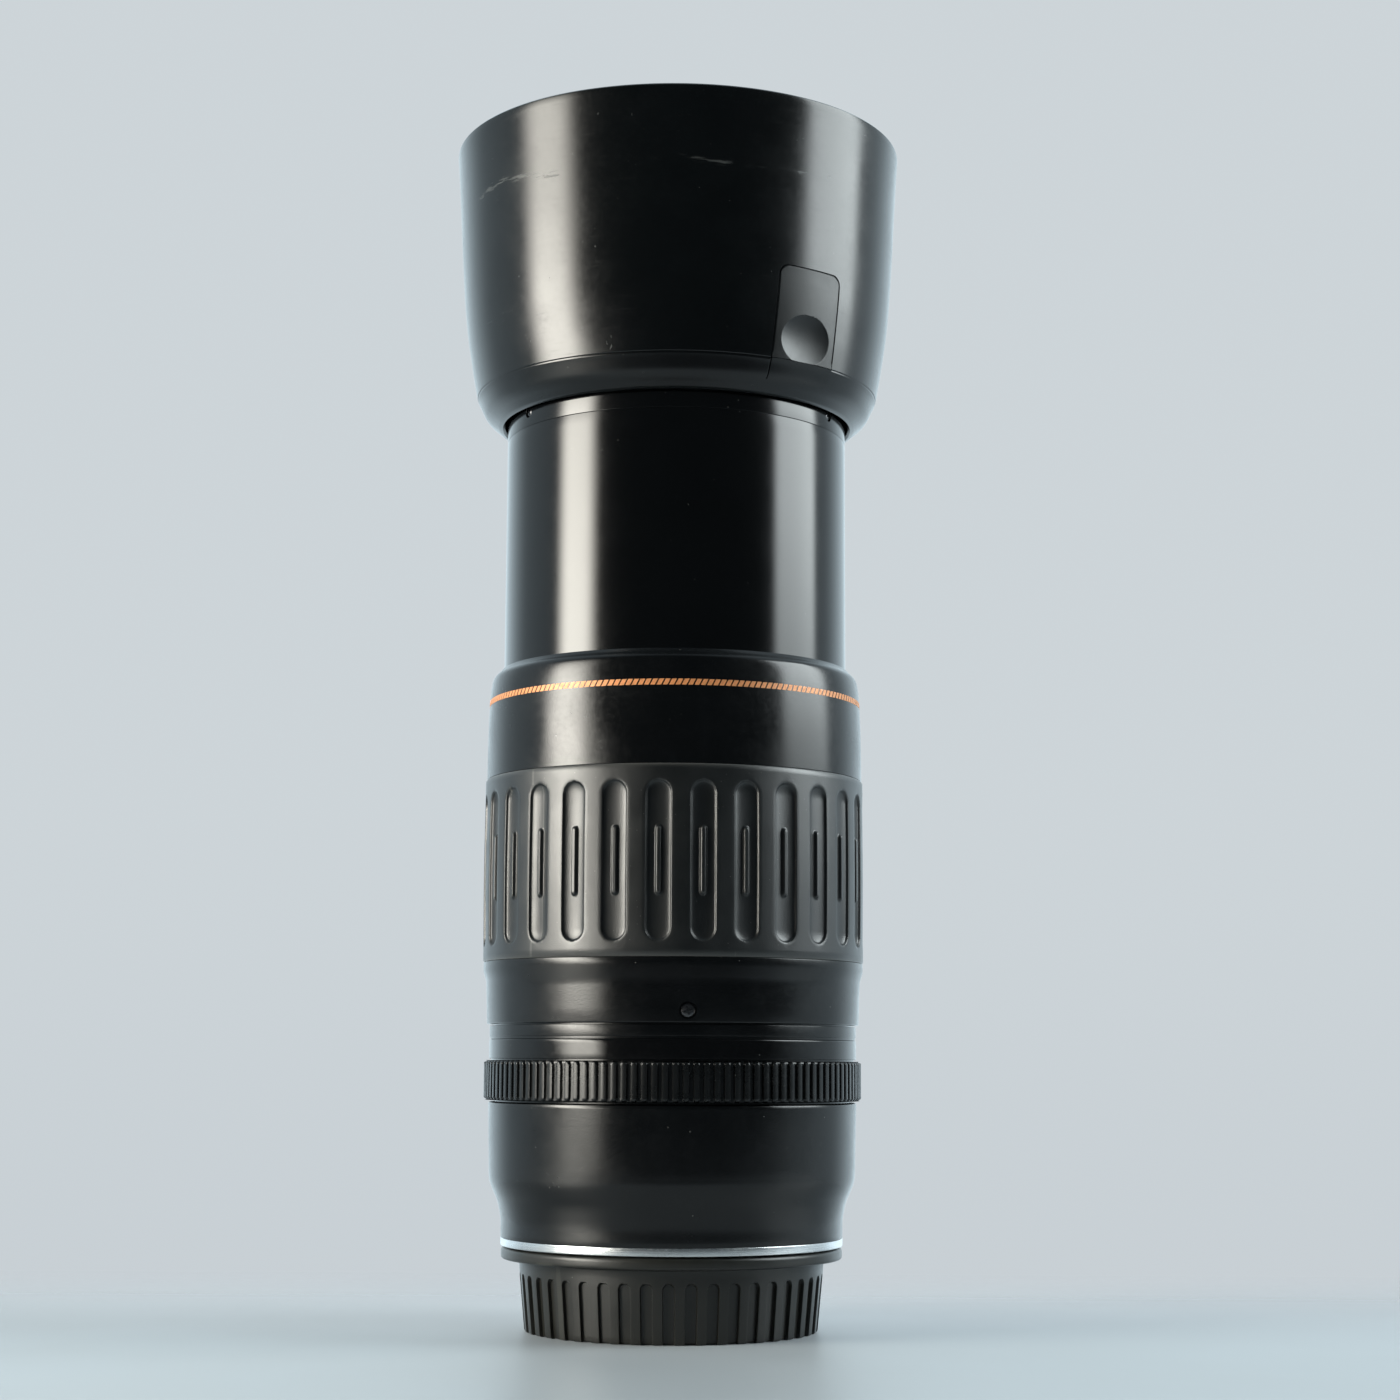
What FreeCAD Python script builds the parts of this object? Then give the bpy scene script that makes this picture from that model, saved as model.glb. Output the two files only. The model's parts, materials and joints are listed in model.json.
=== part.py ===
import FreeCAD, Part
import math
import os

# A telephoto zoom lens for an interchangeable-lens camera, standing on its rear cap
# with its hood on and its zoom fully extended. Millimetres.
# Origin: centre of the mount flange face. +Z runs along the optical axis to the front.
# Azimuths are degrees about +Z, counted from -Y towards +X.

Vector = FreeCAD.Vector
ORIGIN = Vector(0, 0, 0)
UP = Vector(0, 0, 1)

# ---- driving dimensions -------------------------------------------------------
FLANGE_RADIUS = 32.4          # the bright mount flange is 64.8 mm across
FLANGE_HEIGHT = 1.49
THROAT_RADIUS = 23.6          # opening of the bayonet mount
ZOOM_TRAVEL = 45.0            # how far the front barrel comes out
ZOOM_ANGLE = 70.0             # turn of the zoom ring over that travel
MIDDLE_TRAVEL = 20.0          # how far the middle lens group moves over the same turn
FOCUS_TRAVEL = 5.0            # how far the focusing group moves back
FOCUS_OUTPUT_ANGLE = 60.0     # turn of the focus cam ring over that travel
TUBE_RADIUS = 33.25           # extending front tube and front ring
RETRACTED_LENGTH = 121.5      # flange to front ring, zoomed right in
FILTER_RADIUS = 29.0          # 58 mm filter thread
HOOD_TOP = 213.2
HOOD_SEAM = 163.7             # joint between the hood's upper shell and its rear ring
CAP_BOTTOM = -15.85
RUNNING_GAP = 0.1             # radial clearance between turning parts
SEAM_GAP = 0.05               # clearance between parts that are fixed together

# ---- heights and radii worked out from them, or shared by several parts --------
FRONT_RING_TOP = RETRACTED_LENGTH + ZOOM_TRAVEL
FRONT_RING_BASE = 154.6
TUBE_INNER = TUBE_RADIUS - 1.25
TUBE_BASE = 96.5
CAM_OUTER = TUBE_INNER - 0.2
CAM_INNER = CAM_OUTER - 1.2
GUIDE_OUTER = CAM_INNER - RUNNING_GAP
GUIDE_INNER = GUIDE_OUTER - 1.2
BARREL_TOP = 102.0            # top of the cam barrel and guide barrel
FRAME_BASE = 35.2
FRAME_TOP = 37.2
FRONT_PIN_Z = 98.5
MIDDLE_PIN_Z = 82.0
ZOOM_PIN_RADIUS = 1.5
FRONT_PIN_AZIMUTH = 20.0
MIDDLE_PIN_AZIMUTH = FRONT_PIN_AZIMUTH - 60.0
SLEEVE_INNER = 25.0
SLEEVE_OUTER = 26.2
FOCUS_PIN_Z = 27.0
FOCUS_PIN_RADIUS = 1.0
FOCUS_PIN_AZIMUTH = 40.0
ZOOM_RING_BASE = 41.3
ZOOM_RING_INNER = 34.2
GRIP_BASE = 53.0
GRIP_TOP = 87.9
GRIP_SEAT = 35.0
GRIP_RECESSES = 28
GRIP_FIRST_AZIMUTH = 9.0
FOCUS_RING_BASE = 27.1
FOCUS_RING_TOP = 34.5
FOCUS_RING_RADIUS = 36.04
FOCUS_RIBS = 120
NECK_OUTER = 33.95
NECK_INNER = 33.15
INDEX_BASE = 34.8
INDEX_TOP = 38.4
INDEX_RADIUS = 35.06
WINDOW_AZIMUTH = -110.0
WINDOW_HALF_ANGLE = 20.0
WINDOW_BASE = 15.2
WINDOW_TOP = 23.8
SWITCH_AZIMUTH = 170.0
SWITCH_TRAVEL = 3.0
MOTOR_INNER = 27.2
MOTOR_OUTER = 32.2
ROLLER_Z = 24.08
ROLLER_RADIUS = 1.5
ROLLER_BORE = 0.55
ROLLER_COUNT = 3
MIDDLE_CELL_BASE = 72.0
MIDDLE_CELL_TOP = 92.0
MIDDLE_CELL_RADIUS = GUIDE_INNER - RUNNING_GAP
IRIS_BLADES = 8
IRIS_PIVOT_RADIUS = 20.5
IRIS_ARM = 2.0                # pivot to drive pin
IRIS_SWING = 40.0             # turn of one blade from open to closed
IRIS_PLATE_Z = 86.0
BLADE_THICKNESS = 0.1
BLADE_PITCH = 0.14
HOOD_WALL = 1.6
BUTTON_AZIMUTH = 37.6
BUTTON_HALF_WIDTH = 7.3
BUTTON_TOP = 181.0
CAP_GROOVES = 44
CAP_GROOVE_WIDTH = 2.2


# ---- helpers -------------------------------------------------------------------
def outline(start, *steps):
    """A closed wire in the XZ half plane. A step is a point, ("arc", middle, end) or ("curve", points...)."""
    def place(point):
        return Vector(point[0], 0, point[1])

    edges = []
    here = start
    for step in steps + (start,):
        if step[0] == "arc":
            edges.append(Part.Arc(place(here), place(step[1]), place(step[2])).toShape())
            here = step[2]
        elif step[0] == "curve":
            curve = Part.BSplineCurve()
            curve.interpolate([place(here)] + [place(point) for point in step[1:]])
            edges.append(curve.toShape())
            here = step[-1]
        else:
            if math.dist(here, step) > 1e-6:
                edges.append(Part.makeLine(place(here), place(step)))
            here = step
    return Part.Wire(edges)


def revolve(start, *steps):
    """The solid made by turning an outline of (radius, height) steps about the optical axis."""
    return Part.Face(outline(start, *steps)).revolve(ORIGIN, UP, 360)


def ring(inner, outer, low, high):
    body = Part.makeCylinder(outer, high - low, Vector(0, 0, low))
    return body.cut(Part.makeCylinder(inner, high - low + 2, Vector(0, 0, low - 1)))


def sector(inner, outer, low, high, half_angle):
    """Part of a ring, centred on +X."""
    corner = Vector(0, 0, low)
    whole = Part.makeCylinder(outer, high - low, corner, UP, 2 * half_angle)
    piece = whole.cut(Part.makeCylinder(inner, high - low, corner))
    return piece.rotate(ORIGIN, UP, -half_angle)


def radial_rod(radius, inner, outer, height):
    """A cylinder that lies along +X at the given height."""
    return Part.makeCylinder(radius, outer - inner, Vector(inner, 0, height), Vector(1, 0, 0))


def radial_box(inner, outer, width, low, high):
    return Part.makeBox(outer - inner, width, high - low, Vector(inner, -width / 2, low))


def radial_pill(inner, outer, width, low, high):
    """A slot shape with round ends, running along Z, pushed through along +X."""
    radius = width / 2
    middle = radial_box(inner, outer, width, low + radius, high - radius)
    ends = [radial_rod(radius, inner, outer, low + radius),
            radial_rod(radius, inner, outer, high - radius)]
    return middle.fuse(ends).removeSplitter()


def at_azimuth(shape, azimuth):
    """A copy of a shape drawn at +X, turned to an azimuth."""
    return shape.copy().rotate(ORIGIN, UP, azimuth - 90)


def around(shape, count, first_azimuth):
    """Copies of a shape drawn at +X, evenly spaced about the axis."""
    return [at_azimuth(shape, first_azimuth + 360.0 * k / count) for k in range(count)]


def group(shapes):
    return shapes[0] if len(shapes) == 1 else Part.makeCompound(shapes)


def helical_slot(pin_radius, radius, start_z, drop, angle, gap):
    """A slot in a turning tube that takes a pin at +X down by drop as the tube turns by angle."""
    depth = 4.0
    slope = math.atan2(drop, math.radians(angle) * radius)
    half_tall = (pin_radius + gap) / math.cos(slope)
    near = radius - depth / 2
    far = radius + depth / 2
    section = Part.makePolygon([Vector(near, 0, -half_tall), Vector(far, 0, -half_tall),
                                Vector(far, 0, half_tall), Vector(near, 0, half_tall),
                                Vector(near, 0, -half_tall)])
    sweep = Part.BRepOffsetAPI.MakePipeShell(Part.makeHelix(drop * 360 / angle, drop, radius))
    sweep.setBiNormalMode(UP)
    sweep.add(section)
    sweep.build()
    sweep.makeSolid()
    slot = sweep.shape()
    slot.rotate(ORIGIN, UP, -angle)
    slot.translate(Vector(0, 0, start_z - drop))
    start = radial_rod(pin_radius + gap, near, far, start_z)
    end = radial_rod(pin_radius + gap, near, far, start_z - drop).rotate(ORIGIN, UP, -angle)
    return slot.fuse([start, end])


def ribbed_disc(outer, groove, count, share, low, high):
    """A disc whose edge has count ribs; share is the part of the pitch that each rib fills."""
    pitch = 2 * math.pi / count
    points = []
    for k in range(count):
        middle = k * pitch
        for radius, offset in ((groove, -0.5), (groove, -share / 2 - 0.06),
                               (outer, -share / 2), (outer, share / 2),
                               (groove, share / 2 + 0.06)):
            angle = middle + offset * pitch
            points.append(Vector(radius * math.cos(angle), radius * math.sin(angle), low))
    points.append(points[0])
    return Part.Face(Part.makePolygon(points)).extrude(Vector(0, 0, high - low))


def lens(radius, rear_vertex, rear_edge, front_edge, front_vertex):
    """One glass element. Its faces are arcs through a vertex on the axis and the rim."""
    def half_way(vertex, edge):
        sag = edge - vertex
        sphere = (radius ** 2 + sag ** 2) / (2 * abs(sag))
        part = sphere - math.sqrt(sphere ** 2 - (radius / 2) ** 2)
        return (radius / 2, vertex + math.copysign(part, sag))

    return revolve((0, rear_vertex),
                   ("arc", half_way(rear_vertex, rear_edge), (radius, rear_edge)),
                   (radius, front_edge),
                   ("arc", half_way(front_vertex, front_edge), (0, front_vertex)))


def cross_head_screw(head, shank, head_base, head_top, tip):
    """A screw along +X at height 0 whose head faces outwards, with a cross recess."""
    body = radial_rod(head, head_base, head_top, 0).fuse(radial_rod(shank, tip, head_base, 0))
    depth = (head_top - head_base) * 0.5
    bars = [radial_box(head_top - depth, head_top + 1, head * 1.2, -head * 0.12, head * 0.12),
            radial_box(head_top - depth, head_top + 1, head * 0.24, -head * 0.6, head * 0.6)]
    return body.cut(bars)


# ---- mount and rear barrel -------------------------------------------------------
MOUNT_SCREW_RADIUS = 29.2
MOUNT_SCREW_AZIMUTH = 45.0
SCREW_HEAD = 1.65
SCREW_SHANK = 0.8
BAYONET_DEPTH = 5.4
BAYONET_OUTER = 25.4
LUG_RADIUS = 26.9
LUG_HALF_ANGLE = 28.0


def mount_flange():
    disc = revolve((THROAT_RADIUS, 0), (FLANGE_RADIUS - 0.2, 0), (FLANGE_RADIUS, 0.2),
                   (FLANGE_RADIUS, FLANGE_HEIGHT - 0.15), (FLANGE_RADIUS - 0.15, FLANGE_HEIGHT),
                   (THROAT_RADIUS, FLANGE_HEIGHT))
    tube = ring(THROAT_RADIUS, BAYONET_OUTER, -BAYONET_DEPTH, 0.5)
    lugs = around(sector(BAYONET_OUTER - 0.5, LUG_RADIUS, -5.0, -3.4, LUG_HALF_ANGLE), 3, 0)
    body = disc.fuse([tube] + lugs).removeSplitter()
    holes = []
    for azimuth in (0, 90, 180, 270):
        centre = Vector(MOUNT_SCREW_RADIUS, 0, -1)
        holes.append(at_azimuth(Part.makeCylinder(SCREW_SHANK + 0.1, 4, centre),
                                azimuth + MOUNT_SCREW_AZIMUTH))
        holes.append(at_azimuth(Part.makeCylinder(SCREW_HEAD + 0.1, 1.95, centre),
                                azimuth + MOUNT_SCREW_AZIMUTH))
    return body.cut(holes)


def mount_screws():
    head = Part.makeCylinder(SCREW_HEAD, 0.85, Vector(MOUNT_SCREW_RADIUS, 0, 0.1))
    shank = Part.makeCylinder(SCREW_SHANK, 5.0, Vector(MOUNT_SCREW_RADIUS, 0, 0.9))
    slot = Part.makeBox(2.0, 0.4, 0.5, Vector(MOUNT_SCREW_RADIUS - 1.0, -0.2, 0.0))
    cross = Part.makeBox(0.4, 2.0, 0.5, Vector(MOUNT_SCREW_RADIUS - 0.2, -1.0, 0.0))
    return group(around(head.fuse(shank).cut([slot, cross]), 4, MOUNT_SCREW_AZIMUTH))


CONTACT_COUNT = 8
CONTACT_RADIUS = 21.5
CONTACT_PIN = 0.6
CONTACT_AZIMUTH = 180.0
CONTACT_STEP = 11.0


def contact_places():
    middle = (CONTACT_COUNT - 1) / 2
    return [CONTACT_AZIMUTH + (k - middle) * CONTACT_STEP for k in range(CONTACT_COUNT)]


def contact_block():
    body = at_azimuth(sector(19.5, THROAT_RADIUS - SEAM_GAP, -5.2, 1.4, 52), CONTACT_AZIMUTH)
    hole = Part.makeCylinder(CONTACT_PIN, 3, Vector(CONTACT_RADIUS, 0, -6))
    return body.cut([at_azimuth(hole, azimuth) for azimuth in contact_places()])


def contact_pins():
    pin = Part.makeCylinder(CONTACT_PIN - 0.02, 2.5, Vector(CONTACT_RADIUS, 0, -5.55))
    return group([at_azimuth(pin, azimuth) for azimuth in contact_places()])


FLOOR_TOP = 5.0
NECK_TOP = 33.2


def rear_barrel():
    shell = revolve((SLEEVE_OUTER + SEAM_GAP, FLANGE_HEIGHT + 0.01),
                    (FLANGE_RADIUS, FLANGE_HEIGHT + 0.01),
                    ("curve", (32.45, 4.7), (32.73, 6.5), (33.2, 8.4), (34.03, 10.3),
                     (34.67, 12.1), (34.83, 14.0)),
                    (35.1, 26.4), (34.8, 26.8), (NECK_OUTER, 26.8), (NECK_OUTER, NECK_TOP),
                    (NECK_INNER, NECK_TOP), (NECK_INNER, 11.6), (31.2, 9.0), (31.2, FLOOR_TOP),
                    (SLEEVE_OUTER + SEAM_GAP, FLOOR_TOP))
    tools = around(Part.makeCylinder(SCREW_SHANK + 0.05, 6, Vector(MOUNT_SCREW_RADIUS, 0, 0)),
                   4, MOUNT_SCREW_AZIMUTH)
    window = sector(32.0, 37.0, WINDOW_BASE, WINDOW_TOP, WINDOW_HALF_ANGLE)
    tools.append(at_azimuth(window, WINDOW_AZIMUTH))
    pocket = sector(34.3, 37.0, 14.0, 25.0, 9.0)
    tools.append(at_azimuth(pocket, SWITCH_AZIMUTH))
    return shell.cut(tools)


def distance_window():
    margin = 0.1
    pane = sector(33.5, 34.95, WINDOW_BASE + SEAM_GAP, WINDOW_TOP - SEAM_GAP,
                  WINDOW_HALF_ANGLE - margin)
    return at_azimuth(pane, WINDOW_AZIMUTH)


SWITCH_LOW = 16.6


def switch_plate():
    plate = sector(34.35, 35.3, 14.05, 24.95, 8.9)
    slot = radial_box(34, 36, 3.3, SWITCH_LOW, SWITCH_LOW + SWITCH_TRAVEL + 3.0)
    return at_azimuth(plate.cut(slot), SWITCH_AZIMUTH)


def switch_knob():
    low = SWITCH_LOW + 0.1
    knob = radial_box(34.4, 36.0, 3.0, low, low + 2.8)
    grooves = [radial_box(35.75, 36.1, 3.2, low + 0.5 + 0.7 * k, low + 0.8 + 0.7 * k) for k in range(3)]
    return at_azimuth(knob.cut(grooves), SWITCH_AZIMUTH)


def focus_guide_sleeve():
    """Fixed tube with straight slots, a foot on the barrel floor and a shelf for the motor."""
    body = revolve((SLEEVE_INNER, 1.6), (SLEEVE_OUTER, 1.6), (SLEEVE_OUTER, FLOOR_TOP + SEAM_GAP),
                   (30.9, FLOOR_TOP + SEAM_GAP), (30.9, 6.0), (SLEEVE_OUTER, 6.0),
                   (SLEEVE_OUTER, 12.5), (33.1, 12.5), (33.1, 14.0), (SLEEVE_OUTER, 14.0),
                   (SLEEVE_OUTER, FRAME_TOP + 0.8), (SLEEVE_INNER, FRAME_TOP + 0.8))
    width = 2 * FOCUS_PIN_RADIUS + 0.1
    slot = radial_pill(24, 28, width, FOCUS_PIN_Z - FOCUS_TRAVEL - width / 2,
                       FOCUS_PIN_Z + width / 2)
    holes = around(Part.makeCylinder(SCREW_SHANK + 0.05, 6, Vector(MOUNT_SCREW_RADIUS, 0, 1)),
                   4, MOUNT_SCREW_AZIMUTH)
    return body.cut(around(slot, 3, FOCUS_PIN_AZIMUTH) + holes)


def circuit_board():
    board = at_azimuth(sector(26.4, 30.8, 6.3, 7.3, 135), 0)
    chip = Part.makeBox(3.2, 6.0, 1.2, Vector(27.0, -3.0, 7.3))
    connector = Part.makeBox(2.4, 9.0, 1.6, Vector(27.4, -4.5, 7.3))
    parts = [at_azimuth(chip, azimuth) for azimuth in (-100, -40, 20, 60)]
    return board.fuse(parts + [at_azimuth(connector, 110)])


# ---- focus drive -----------------------------------------------------------------
def disc_spring():
    return revolve((27.5, 14.05), (32.0, 15.5), (32.0, 15.9), (27.5, 14.45))


def motor_stator():
    """Elastic ring whose upper face is cut into comb teeth."""
    low = 16.0
    high = 19.5
    groove = radial_box(MOTOR_INNER - 1, MOTOR_OUTER + 1, 0.5, high - 1.2, high + 1)
    return ring(MOTOR_INNER, MOTOR_OUTER, low, high).cut(around(groove, 60, 0))


def motor_rotor():
    return revolve((MOTOR_INNER, 19.53), (MOTOR_OUTER, 19.53), (MOTOR_OUTER, 21.0),
                   (31.6, 21.4), (31.6, 22.5), (27.8, 22.5), (27.8, 21.4), (MOTOR_INNER, 21.0))


CARRIER_LOW = 23.3
CARRIER_HIGH = 24.86
CAM_RING_OUTER = 26.9
SCALE_INNER = 32.45
SCALE_OUTER = 33.0


def roller_carrier():
    body = ring(CAM_RING_OUTER, SCALE_OUTER, CARRIER_LOW, CARRIER_HIGH)
    window = radial_box(27.7, 31.3, 2 * ROLLER_RADIUS + 0.5, CARRIER_LOW - 1, CARRIER_HIGH + 1)
    axle = radial_rod(ROLLER_BORE - 0.05, 27.4, 31.6, ROLLER_Z)
    return body.cut(around(window, ROLLER_COUNT, 0)).fuse(around(axle, ROLLER_COUNT, 0))


def drive_roller(number):
    roller = radial_rod(ROLLER_RADIUS, 28.0, 31.0, ROLLER_Z)
    bored = roller.cut(radial_rod(ROLLER_BORE, 27.0, 32.0, ROLLER_Z))
    return at_azimuth(bored, 360.0 * number / ROLLER_COUNT)


def distance_scale():
    return ring(SCALE_INNER, SCALE_OUTER, 14.3, CARRIER_LOW)


def focus_cam_ring():
    body = ring(SLEEVE_OUTER + SEAM_GAP, CAM_RING_OUTER, 17.0, 34.0)
    slot = helical_slot(FOCUS_PIN_RADIUS, (SLEEVE_OUTER + CAM_RING_OUTER) / 2, FOCUS_PIN_Z,
                        FOCUS_TRAVEL, FOCUS_OUTPUT_ANGLE, 0.05)
    return body.cut(around(slot, 3, FOCUS_PIN_AZIMUTH))


def focus_ring():
    middle_low = FOCUS_RING_BASE + 0.55
    middle_high = FOCUS_RING_TOP - 0.55
    groove = FOCUS_RING_RADIUS - 0.55
    ribs = ribbed_disc(FOCUS_RING_RADIUS, groove, FOCUS_RIBS, 0.6, middle_low, middle_high)
    inner = NECK_OUTER + RUNNING_GAP
    ribs = ribs.cut(Part.makeCylinder(inner, 20, Vector(0, 0, 20)))
    lower = revolve((inner, FOCUS_RING_BASE), (groove, FOCUS_RING_BASE),
                    (FOCUS_RING_RADIUS - 0.1, middle_low), (inner, middle_low))
    upper = revolve((inner, middle_high), (FOCUS_RING_RADIUS - 0.1, middle_high),
                    (groove, FOCUS_RING_TOP), (31.0, FOCUS_RING_TOP - 0.1),
                    (31.0, NECK_TOP + 0.2), (inner, NECK_TOP + 0.2))
    return ribs.fuse([lower, upper])


def manual_ring():
    low = ROLLER_Z + ROLLER_RADIUS + 0.08
    top = NECK_TOP + 0.2
    return revolve((27.6, low), (MOTOR_OUTER, low), (MOTOR_OUTER, top), (31.0, top),
                   (31.0, low + 1.0), (27.6, low + 1.0))


FOCUS_CELL_RADIUS = SLEEVE_INNER - RUNNING_GAP


def focus_lens_cell():
    body = revolve((17.0, 19.0), (18.5, 19.0), (18.5, 26.0), (23.5, 26.0), (23.5, 18.0),
                   (FOCUS_CELL_RADIUS, 18.0), (FOCUS_CELL_RADIUS, 36.0), (23.5, 36.0),
                   (23.5, 28.0), (18.5, 28.0), (18.5, 34.0), (17.0, 34.0))
    return body.cut(around(radial_rod(FOCUS_PIN_RADIUS, 23.0, 27.0, FOCUS_PIN_Z), 3, FOCUS_PIN_AZIMUTH))


def rear_elements():
    radius = 16.95
    return group([lens(radius, 19.5, 20.3, 22.2, 23.4),
                  lens(radius, 25.6, 24.6, 27.4, 26.6),
                  lens(radius, 29.6, 30.4, 31.6, 33.0)])


def focus_cam_pins():
    return group(around(radial_rod(FOCUS_PIN_RADIUS, 23.5, 26.85, FOCUS_PIN_Z), 3, FOCUS_PIN_AZIMUTH))


# ---- fixed barrel and zoom drive ---------------------------------------------------
def base_frame():
    """Disc that carries the guide barrel on the focus sleeve."""
    return revolve((SLEEVE_OUTER + SEAM_GAP, FRAME_BASE), (34.05, FRAME_BASE), (34.05, FRAME_TOP),
                   (GUIDE_INNER, FRAME_TOP), (GUIDE_INNER, FRAME_TOP + 1.2),
                   (GUIDE_INNER - 1.0, FRAME_TOP + 1.2), (GUIDE_INNER - 1.0, FRAME_TOP),
                   (SLEEVE_OUTER + SEAM_GAP, FRAME_TOP))


def index_ring():
    return revolve((34.1, INDEX_BASE), (INDEX_RADIUS - 0.1, INDEX_BASE), (INDEX_RADIUS, INDEX_BASE + 0.1),
                   (INDEX_RADIUS, INDEX_TOP - 0.25), (INDEX_RADIUS - 0.25, INDEX_TOP), (34.1, INDEX_TOP))


def spacer_ring():
    low = INDEX_TOP + SEAM_GAP
    neck = ZOOM_RING_INNER - RUNNING_GAP
    return revolve((33.0, low), (34.9, low), (34.9, 38.9), (35.05, 39.0), (35.05, 40.9),
                   (34.95, 41.0), (neck, 41.0), (neck, 46.0), (33.0, 46.0))


def guide_barrel():
    """Fixed tube with three straight slots for the front barrel and three for the middle group."""
    body = ring(GUIDE_INNER, GUIDE_OUTER, FRAME_TOP, BARREL_TOP)
    width = 2 * ZOOM_PIN_RADIUS + 0.2
    front = radial_pill(28, 32, width, FRONT_PIN_Z - ZOOM_TRAVEL - width / 2, FRONT_PIN_Z + width / 2)
    middle = radial_pill(28, 32, width, MIDDLE_PIN_Z - MIDDLE_TRAVEL - width / 2, MIDDLE_PIN_Z + width / 2)
    return body.cut(around(front, 3, FRONT_PIN_AZIMUTH) + around(middle, 3, MIDDLE_PIN_AZIMUTH))


def cam_barrel():
    """Turning tube whose sloping slots drive the front barrel and the middle group, with its drive key."""
    body = ring(CAM_INNER, CAM_OUTER, FRAME_TOP + 0.2, BARREL_TOP)
    radius = (CAM_INNER + CAM_OUTER) / 2
    front = helical_slot(ZOOM_PIN_RADIUS, radius, FRONT_PIN_Z, ZOOM_TRAVEL, ZOOM_ANGLE, 0.1)
    middle = helical_slot(ZOOM_PIN_RADIUS, radius, MIDDLE_PIN_Z, MIDDLE_TRAVEL, ZOOM_ANGLE, 0.1)
    tools = around(front, 3, FRONT_PIN_AZIMUTH) + around(middle, 3, MIDDLE_PIN_AZIMUTH)
    key = sector(CAM_OUTER - 0.3, ZOOM_RING_INNER - SEAM_GAP, 47.0, 51.0, 5.0)
    return body.cut(tools).fuse(at_azimuth(key, 150))


ZOOM_SCREW_AZIMUTH = 4.9
ZOOM_SCREW_Z = 43.5
ZOOM_SCREW_HEAD = 1.5


def zoom_ring():
    body = revolve((ZOOM_RING_INNER, ZOOM_RING_BASE), (35.5, ZOOM_RING_BASE),
                   (35.6, ZOOM_RING_BASE + 0.3), (35.8, 48.0), (35.85, 49.5), (36.4, 51.3),
                   (36.4, GRIP_BASE), (GRIP_SEAT, GRIP_BASE), (GRIP_SEAT, GRIP_TOP),
                   (36.28, GRIP_TOP),
                   ("curve", (36.2, 96.0), (36.0, 102.0), (35.8, 105.0), (35.5, 107.0),
                    (35.1, 107.9), (34.26, 108.7), (33.75, 109.3)),
                   (33.6, 109.3), (33.6, 107.8), (ZOOM_RING_INNER, 107.8))
    recess = radial_rod(ZOOM_SCREW_HEAD + 0.1, 34.9, 37, ZOOM_SCREW_Z)
    hole = radial_rod(0.75, 33.5, 35.5, ZOOM_SCREW_Z)
    return body.cut(around(recess, 3, ZOOM_SCREW_AZIMUTH) + around(hole, 3, ZOOM_SCREW_AZIMUTH))


def zoom_ring_screws():
    screw = cross_head_screw(ZOOM_SCREW_HEAD, 0.7, 34.95, 35.5, 34.25)
    screw.translate(Vector(0, 0, ZOOM_SCREW_Z))
    return group(around(screw, 3, ZOOM_SCREW_AZIMUTH))


def zoom_grip():
    """Rubber sleeve with long recesses, each holding a raised rib."""
    middle_z = (GRIP_BASE + GRIP_TOP) / 2
    low = GRIP_BASE + SEAM_GAP
    high = GRIP_TOP - SEAM_GAP
    body = revolve((GRIP_SEAT + 0.02, low), (36.5, low), ("arc", (36.62, middle_z), (36.5, high)),
                   (GRIP_SEAT + 0.02, high))
    recess = radial_pill(35.75, 38, 4.7, 55.9, 84.9)
    rib = radial_pill(35.7, 36.35, 1.6, 64.0, 76.8)
    body = body.cut(around(recess, GRIP_RECESSES, GRIP_FIRST_AZIMUTH))
    return body.fuse(around(rib, GRIP_RECESSES, GRIP_FIRST_AZIMUTH))


def felt_seal():
    return ring(TUBE_RADIUS + SEAM_GAP, ZOOM_RING_INNER - SEAM_GAP, 105.5, 107.75)


# ---- front barrel -------------------------------------------------------------------
FRONT_SCREW_AZIMUTH = 62.0
FRONT_SCREW_Z = 157.4
FRONT_SCREW_HEAD = 1.0


def front_tube():
    body = ring(TUBE_INNER, TUBE_RADIUS, TUBE_BASE, FRONT_RING_BASE)
    return body.cut(around(radial_rod(ZOOM_PIN_RADIUS, 31, 35, FRONT_PIN_Z), 3, FRONT_PIN_AZIMUTH))


def front_cam_pins():
    pin = radial_rod(ZOOM_PIN_RADIUS, GUIDE_INNER + 0.05, TUBE_RADIUS - 0.25, FRONT_PIN_Z)
    return group(around(pin, 3, FRONT_PIN_AZIMUTH))


def front_ring():
    """Carries the filter thread inside and the groove that the hood clips into."""
    bore_low = FRONT_RING_TOP - 6.0
    groove = 32.4
    body = revolve((TUBE_INNER, FRONT_RING_BASE + 0.02), (TUBE_RADIUS, FRONT_RING_BASE + 0.02),
                   (TUBE_RADIUS, 162.6), (groove, 162.6), (groove, 164.6), (TUBE_RADIUS, 164.6),
                   (TUBE_RADIUS, FRONT_RING_TOP - 0.3), (TUBE_RADIUS - 0.3, FRONT_RING_TOP),
                   (FILTER_RADIUS, FRONT_RING_TOP), (FILTER_RADIUS, bore_low), (TUBE_INNER, bore_low))
    recess = radial_rod(FRONT_SCREW_HEAD + 0.1, 32.6, 35, FRONT_SCREW_Z)
    hole = radial_rod(0.6, 31, 33, FRONT_SCREW_Z)
    return body.cut(around(recess, 3, FRONT_SCREW_AZIMUTH) + around(hole, 3, FRONT_SCREW_AZIMUTH))


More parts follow.
